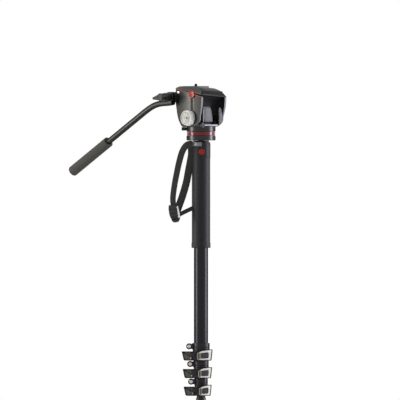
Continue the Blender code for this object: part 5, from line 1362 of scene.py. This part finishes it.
# The bar's middle line as (forward, up) in millimetres
BAR_PATH = ((-38.0, 32.8), (-46.0, 31.8), (-58.0, 30.9), (-71.0, 30.3), (-83.0, 28.6), (-94.0, 25.7),
            (-105.5, 21.0), (-117.0, 15.1), (-130.0, 7.8), (-227.3, -48.1), (-328.8, -106.4))
EYE_GAP = 0.3 * MM
EYE_THICK = 12.6 * MM
EYE_BORE = 4.3 * MM
# The groove round the eye: how deep it is and where it starts, turns and ends
EYE_GROOVE = (0.5 * MM, 2.2 * MM, 2.7 * MM, 3.2 * MM)
FOAM_LENGTH = 124.0 * MM
FOAM_END = 123.4 * MM
FOAM_RADIUS = 10.85 * MM
FOAM_PLUG = 4.5 * MM
FOAM_LIP = (0.6 * MM, 1.2 * MM, 1.6 * MM)
FOAM_MOUTH = 1.3 * MM
FOAM_MOUTH_EDGE = 0.9 * MM
FOAM_END_EDGE = 2.2 * MM
BARREL_LENGTH = 16.2 * MM
LOBES = ((0.2 * MM, 5.2 * MM), (5.9 * MM, 13.2 * MM))
LOBE_KNURL = (8.8 * MM, 0.45 * MM, 30)
WING_HUB_LENGTH = 9.6 * MM
CORE_START = 8.0 * MM
CORE_SHANK = 4.0 * MM
CORE_BARREL = 7.9 * MM
CORE_HUB = 7.8 * MM
CORE_EASE = 0.2 * MM
# The hub's face as (radius, sunk) in millimetres
CORE_FACE = ((6.2, 0.0), (5.8, 0.7), (4.9, 0.7), (4.5, 0.0), (2.6, 0.0), (2.2, 0.9), (0.0, 0.9))
WING_TIP = (-21.0 * MM, -2.4 * MM)
WING_RADII = (7.4 * MM, 2.6 * MM)
WING_MARGINS = (1.2 * MM, 1.6 * MM)


def make_pan_bar():
    spots = smooth_line([(x, -BAR_PLANE, z) for x, z in mm(BAR_PATH)], BAR_STEP)
    bar = swept(spots, [BAR_RADIUS] * len(spots), 40)
    near = PANEL_OUT + EYE_GAP
    far = near + EYE_THICK
    deep, start, turn, end = EYE_GROOVE
    eye = turned([(EYE_BORE, near), (ROSETTE_RADIUS, near), (ROSETTE_RADIUS, near + start),
                  (ROSETTE_RADIUS - deep, near + turn), (ROSETTE_RADIUS, near + end),
                  (ROSETTE_RADIUS, far, SOFT), (EYE_BORE, far)])
    piece("guide_bar", gathered(bar, moved(eye, AT_ROSETTE @ SIDEWAYS)), "bar", "bar", "pan_bar",
          TILT)

    start, end = mm(BAR_PATH[-2:])
    run = Vector((end[0] - start[0], 0, end[1] - start[1])).normalized()
    bore = BAR_RADIUS + EYE_GAP
    inner, outer, lip = FOAM_LIP
    foam = turned([(0, FOAM_LENGTH - FOAM_PLUG), (bore, FOAM_LENGTH - FOAM_PLUG), (bore, 0),
                   (bore + inner, 0), (bore + outer, FOAM_MOUTH), (FOAM_RADIUS - lip, FOAM_MOUTH),
                   (FOAM_RADIUS, 0, FOAM_MOUTH_EDGE), (FOAM_RADIUS, FOAM_END, FOAM_END_EDGE),
                   (0, FOAM_END)])
    turn = Vector((0, 0, 1)).rotation_difference(run).to_matrix().to_4x4()
    handle = piece("foam_handle", foam, "bar", "foam", "bar_grip",
                   TILT @ at(start[0], -BAR_PLANE, start[1]) @ turn)

    base = far + EYE_GAP
    hub = base + BARREL_LENGTH
    end = hub + WING_HUB_LENGTH
    lobes = [soften(prism(cog(*LOBE_KNURL), base + start, base + stop), MM, 3, KNURL_FROM)
             for start, stop in LOBES]
    core = turned([(0, PANEL_OUT - CORE_START), (CORE_SHANK, PANEL_OUT - CORE_START), (CORE_SHANK, base),
                   (CORE_BARREL, base), (CORE_BARREL, hub), (CORE_HUB, hub), (CORE_HUB, end, MM),
                   *[(radius, end - sunk_by) for radius, sunk_by in mm(CORE_FACE)]], CORE_EASE, corner=2)
    below, above = WING_MARGINS
    root_radius, tip_radius = WING_RADII
    wing = prism(capsule((0, 0), root_radius, WING_TIP, tip_radius), hub + below, end - above)
    lever = moved(gathered(*lobes, core, soften(wing, SOFT, 3)), SIDEWAYS)
    piece("wing_handle", lever, "bar_lock", "knob", "wing_lever", TILT @ AT_ROSETTE)


# The fluid base

BALL_HEIGHT = 46.0 * MM
BALL_RADIUS = 13.0 * MM
SEAT_SPAN = (radians(55), radians(125))
SEAT_RADII = (16.0 * MM, 13.3 * MM)
CUP_RADIUS = 16.3 * MM
CUP_RIM = 21.5 * MM
NECK_ANGLE = radians(30)
SPINDLE = mm(((6.5, 27.7), (5.0, 27.7), (5.0, 61.7), (0, 61.7)))
RETAINER_HEIGHT = 8.0 * MM
RETAINER_SPAN = (acos(0.01), acos(RETAINER_HEIGHT / CUP_RADIUS))
RETAINER_EDGE = 1.8 * MM
RETAINER_LOW = 0.2 * MM
LOCK_KNURL = (14.6 * MM, 0.5 * MM, 36)
LOCK_BORE = 6.8 * MM
CARTRIDGE_EDGE = 3.0 * MM
CARTRIDGE_WAIST = 0.8 * MM
# The waist's lower and upper steps: where each starts and ends, from the nearer end
CARTRIDGE_STEPS = ((10.0 * MM, 10.8 * MM), (9.8 * MM, 9.0 * MM))
CARTRIDGE_BORE = 5.3 * MM
CARTRIDGE_DEEP = 30.0 * MM
BAND_INSETS = (1.2 * MM, 0.1 * MM)
BAND_ENDS = (10.5 * MM, 11.5 * MM)
LINE_DROP = 9.4 * MM
LINE_HALF = 0.7 * MM
LINE_EASE = 0.2 * MM
COUPLING_BORE = 9.1 * MM
COUPLING_FLOOR = 126.0 * MM
COUPLING_DRAIN = 0.5 * MM
COUPLING_EDGE = 0.8 * MM
COUPLING_SHOULDER = 124.5 * MM
SHOULDER_EDGE = 3.0 * MM
NECK_LOW = 131.5 * MM
NECK_RADIUS = 10.2 * MM
NECK_EDGE = 2.0 * MM
HUB_LIP = 0.15 * MM
# The hub's outside as (radius, height, rounding) in millimetres
HUB_OUTSIDE = mm(((0, 1.0), (11.0, 1.0, 1.0), (14.0, 4.0, 1.0), (22.0, 7.0, 2.0), (22.0, 26.0, 2.0),
                  (21.5, 29.0, 1.0)))
LEG_OUT = 30.0 * MM
LEG_HINGE = 14.0 * MM
LEG_AZIMUTHS = (radians(150), radians(270), radians(30))
LUG_LONG = 14.0 * MM
LUG_RADIUS = 6.5 * MM
LUG_THICK = 4.0 * MM
LUG_LOWS = (-10.3 * MM, 6.3 * MM)
LUG_EASE = 0.6 * MM
# The leg from its side, about its pin, and half the thickness of each part
LEG_ROOT = 5.5 * MM
LEG_END = mm(((92.0, -9.2), (92.0, -1.2)))
LEG_HALF = 6.0 * MM
LEG_EDGE = 1.1 * MM
LEG_GROOVE = mm(((14.0, -4.4), (84.0, -6.8), (84.0, -3.4), (14.0, 1.4)))
GROOVE_REACH = 7.0 * MM
LEG_CORE = mm(((12.0, -5.6), (86.0, -7.6), (86.0, -2.6), (12.0, 2.6)))
LEG_CORE_HALF = 4.9 * MM
LEG_PEG = mm(corners(91.0, -7.7, 104.0, -2.7))
LEG_PEG_HALF = 4.5 * MM
HINGE_PIN = mm(((0, -10.3), (2.5, -10.3), (2.5, 10.6), (4.2, 10.6), (4.2, 12.2, 0.6), (1.5, 12.2),
                (1.5, 11.4), (0, 11.4)))
TIP_START = 92.3 * MM
TIP_HALF = 7.5 * MM
TIP_LENGTH = 10.3 * MM
TIP_TOP = -0.5 * MM
TIP_POCKET = mm(corners(80.0, -4.8, 104.3, 4.8))
TIP_POCKET_LEVELS = (-8.0 * MM, -2.4 * MM)


def make_base():
    ball = at(0, 0, BALL_HEIGHT)
    outer, inner = SEAT_RADII
    seat = sphere_arc(outer, *SEAT_SPAN, 24) + sphere_arc(inner, *SEAT_SPAN[::-1], 24)
    piece("ball_seat", lathe(seat), "seat", "nylon", "seat_ring", ball)

    stem = sphere_arc(BALL_RADIUS, pi, NECK_ANGLE, 40)
    stem[0] = (0, -BALL_RADIUS)
    piece("ball_and_spindle", lathe(stem + SPINDLE), "stem", "steel", "ball_stem", ball)

    ring = sphere_arc(CUP_RADIUS, *RETAINER_SPAN, 10)
    ring += filleted([ring[-1], (CUP_RIM, RETAINER_HEIGHT, RETAINER_EDGE), (CUP_RIM, RETAINER_LOW),
                      ring[0]], 0, False)[1:-1]
    piece("cup_retainer", lathe(ring), "base", "casting", "ball_retainer", ball)

    low, high = box_of("tilt_lock_ring")
    knurl = soften(prism(cog(*LOCK_KNURL), low.z, high.z), TIGHT, 2, KNURL_FROM)
    bore = lathe(corners(0, low.z - MM, LOCK_BORE, high.z + MM))
    piece("tilt_lock_knurl", cut(knurl, bore), "lock_ring", "knob", "tilt_lock_ring")


def make_cartridge():
    low, high = box_of("cartridge_housing")
    rim = high.x
    waist = rim - CARTRIDGE_WAIST
    (lower_start, lower_end), (upper_start, upper_end) = CARTRIDGE_STEPS
    housing = turned([
        (CARTRIDGE_BORE, low.z + CARTRIDGE_DEEP), (CARTRIDGE_BORE, low.z), (rim, low.z, CARTRIDGE_EDGE),
        (rim, low.z + lower_start), (waist, low.z + lower_end), (waist, high.z - upper_start),
        (rim, high.z - upper_end), (rim, high.z, CARTRIDGE_EDGE), (CARTRIDGE_BORE, high.z),
    ])
    piece("fluid_cartridge", housing, "section_4", "casting", "cartridge_housing")
    inset, outset = BAND_INSETS
    upper, lower = BAND_ENDS
    band = turned(corners(rim - inset, high.z - upper, rim - outset, low.z + lower))
    piece("cartridge_band", band, "section_4", "rubber")
    height = high.z - LINE_DROP
    line = turned(corners(rim - MM, height - LINE_HALF, rim + outset, height + LINE_HALF), LINE_EASE)
    piece("cartridge_upper_line", line, "section_4", "red")


def make_coupling():
    low, high = box_of("base_coupling")
    coupling = turned([
        (COUPLING_BORE, COUPLING_FLOOR), (COUPLING_DRAIN, COUPLING_FLOOR), (COUPLING_DRAIN, low.z),
        (high.x, low.z, COUPLING_EDGE), (high.x, COUPLING_SHOULDER, SHOULDER_EDGE),
        (NECK_RADIUS, NECK_LOW, NECK_EDGE), (NECK_RADIUS, high.z), (COUPLING_BORE, high.z),
    ])
    piece("tube_coupling", coupling, "section_4", "knob", "base_coupling")


def leg_place(azimuth):
    return Matrix.Rotation(azimuth, 4, "Z") @ at(LEG_OUT, 0, LEG_HINGE)


def make_hub():
    bowl = [(radius, BALL_HEIGHT + height) for radius, height in sphere_arc(CUP_RADIUS, pi / 2, pi, 24)]
    bowl[-1] = (0, BALL_HEIGHT - CUP_RADIUS)
    top = BALL_HEIGHT - HUB_LIP
    bowl[0] = (CUP_RADIUS, top)
    parts = [lathe(filleted([*HUB_OUTSIDE, (CUP_RIM, top, EASE)], 0, False) + bowl)]
    lug = [(-LUG_LONG, LUG_RADIUS), (-LUG_LONG, -LUG_RADIUS),
           *arc((0, 0), LUG_RADIUS, -pi / 2, pi / 2, 20)]
    for azimuth in LEG_AZIMUTHS:
        for low in LUG_LOWS:
            part = soften(prism(lug, low, low + LUG_THICK), LUG_EASE, 2)
            parts.append(moved(part, leg_place(azimuth) @ SIDEWAYS))
    piece("base_hub", gathered(*parts), "base", "casting", "hub")


def make_legs():
    for i, azimuth in enumerate(LEG_AZIMUTHS, 1):
        place = leg_place(azimuth)
        side = arc((0, 0), LEG_ROOT, pi / 2, 3 * pi / 2, 24) + LEG_END
        leg = soften(prism(side, -LEG_HALF, LEG_HALF), LEG_EDGE, 3)
        groove = soften(prism(filleted(LEG_GROOVE, SOFT), -GROOVE_REACH, GROOVE_REACH), FINE, 1)
        core = prism(filleted(LEG_CORE, MM), -LEG_CORE_HALF, LEG_CORE_HALF)
        peg = prism(LEG_PEG, -LEG_PEG_HALF, LEG_PEG_HALF)
        leg = gathered(cut(leg, groove), core, peg)
        piece(f"leg_{i}_arm", moved(leg, SIDEWAYS), f"leg_{i}", "leg", f"leg_{i}", place)

        pin = turned(HINGE_PIN, steps=SMALL_STEPS)
        piece(f"leg_{i}_hinge_pin", moved(pin, SIDEWAYS), "base", "steel", f"leg_{i}_pin", place)

        plan = [(TIP_START, -TIP_HALF), *arc((TIP_START + TIP_LENGTH, 0), TIP_HALF, -pi / 2, pi / 2, 24),
                (TIP_START, TIP_HALF)]
        tip = soften(prism(plan, -LEG_HINGE, TIP_TOP), SOFT, 3)
        pocket = prism(TIP_POCKET, *TIP_POCKET_LEVELS)
        piece(f"leg_{i}_foot", cut(tip, pocket), f"leg_{i}", "foot", f"leg_{i}_tip", place)


# Studio

PIXEL = 2.06 * MM
VIEW_WIDTH = 400 * PIXEL
VIEW_CENTRE = (-2.06 * MM, 545.2 * MM)
CAMERA_AWAY = 24.0
SENSOR = 36.0
FLOOR_RADIUS = 2.2
FADE_START = 0.5
FADE_END = 0.9 * FLOOR_RADIUS
FILL = ("#eceef2", 0.4)
AIM = (0, 0, 0.5)
# Name, place and size in metres, watts and colour
LAMPS = (
    ("right_strip", (2.1, 0.02, 0.8), (0.65, 1.8), 72, "#f4f4ff"),
    ("left_strip", (-2.06, -0.4, 0.8), (0.55, 1.6), 44, "#fffbf6"),
    ("top_soft", (-0.4, -0.5, 2.5), (0.8, 0.8), 12, "#ffffff"),
)


def make_camera():
    data = bpy.data.cameras.new("camera")
    data.sensor_width = SENSOR
    data.lens = SENSOR * CAMERA_AWAY / VIEW_WIDTH
    data.clip_end = 3 * CAMERA_AWAY
    camera = bpy.data.objects.new("camera", data)
    across, height = VIEW_CENTRE
    camera.location = (across, -CAMERA_AWAY, height)
    camera.rotation_euler = (pi / 2, 0, 0)
    bpy.context.collection.objects.link(camera)
    bpy.context.scene.camera = camera


def make_floor():
    """A pale round floor, white to the camera but for the object's shadow."""
    bm = bmesh.new()
    bmesh.ops.create_circle(bm, segments=LATHE_STEPS, radius=FLOOR_RADIUS, cap_ends=True)
    mesh = bpy.data.meshes.new("floor")
    bm.to_mesh(mesh)
    bm.free()
    floor = bpy.data.objects.new("floor", mesh)
    bpy.context.collection.objects.link(floor)
    paint, tree, shader, place = finish("matt_white_floor", "#f0f0ef", 0.9, 0.0, 0.2)
    away = add(tree, "ShaderNodeVectorMath", None, {0: place}, operation="LENGTH")
    fade = add(tree, "ShaderNodeMapRange", {"From Min": FADE_START, "From Max": FADE_END},
               {"Value": away.outputs["Value"]}, interpolation_type="SMOOTHSTEP")
    path = tree.nodes.new("ShaderNodeLightPath")
    seen = add(tree, "ShaderNodeMath", None, {0: fade.outputs["Result"], 1: path.outputs["Is Camera Ray"]},
               operation="MULTIPLY")
    white = add(tree, "ShaderNodeEmission", {"Color": (1, 1, 1, 1), "Strength": 1.0})
    mix = add(tree, "ShaderNodeMixShader", None,
              {0: seen.outputs["Value"], 1: shader.outputs["BSDF"], 2: white.outputs["Emission"]})
    tree.links.new(mix.outputs["Shader"], tree.nodes["Material Output"].inputs["Surface"])
    mesh.materials.append(paint)


def make_world():
    """White where the camera, metal and glass look past the object; a soft grey fill for the rest."""
    world = bpy.data.worlds.new("studio")
    world.use_nodes = True
    bpy.context.scene.world = world
    tree = world.node_tree
    tree.nodes.clear()
    path = tree.nodes.new("ShaderNodeLightPath")
    seen = path.outputs["Is Camera Ray"]
    for ray in ("Is Glossy Ray", "Is Transmission Ray"):
        seen = add(tree, "ShaderNodeMath", None, {0: seen, 1: path.outputs[ray]},
                   operation="MAXIMUM").outputs["Value"]
    colour, strength = FILL
    fill = add(tree, "ShaderNodeBackground", {"Color": linear(colour), "Strength": strength})
    white = add(tree, "ShaderNodeBackground", {"Color": (1, 1, 1, 1), "Strength": 1.0})
    mix = add(tree, "ShaderNodeMixShader", None,
              {0: seen, 1: fill.outputs["Background"], 2: white.outputs["Background"]})
    add(tree, "ShaderNodeOutputWorld", None, {"Surface": mix.outputs["Shader"]})


def make_lamps():
    for name, place, size, power, colour in LAMPS:
        data = bpy.data.lights.new(name, "AREA")
        data.shape = "RECTANGLE"
        data.size, data.size_y = size
        data.energy = power
        data.color = linear(colour)[:3]
        lamp = bpy.data.objects.new(name, data)
        lamp.location = place
        lamp.rotation_euler = (Vector(AIM) - Vector(place)).to_track_quat("-Z", "Y").to_euler()
        bpy.context.collection.objects.link(lamp)


def main():
    bpy.context.scene.view_settings.view_transform = "Standard"
    make_camera()
    make_tubes()
    for number in (1, 2, 3):
        make_collar(number)
        make_lever(number)
    make_grip()
    make_strap()
    make_pan_base()
    make_panels()
    make_dial()
    make_deck()
    make_plate()
    make_pan_bar()
    make_base()
    make_cartridge()
    make_coupling()
    make_hub()
    make_legs()
    make_floor()
    make_world()
    make_lamps()


main()
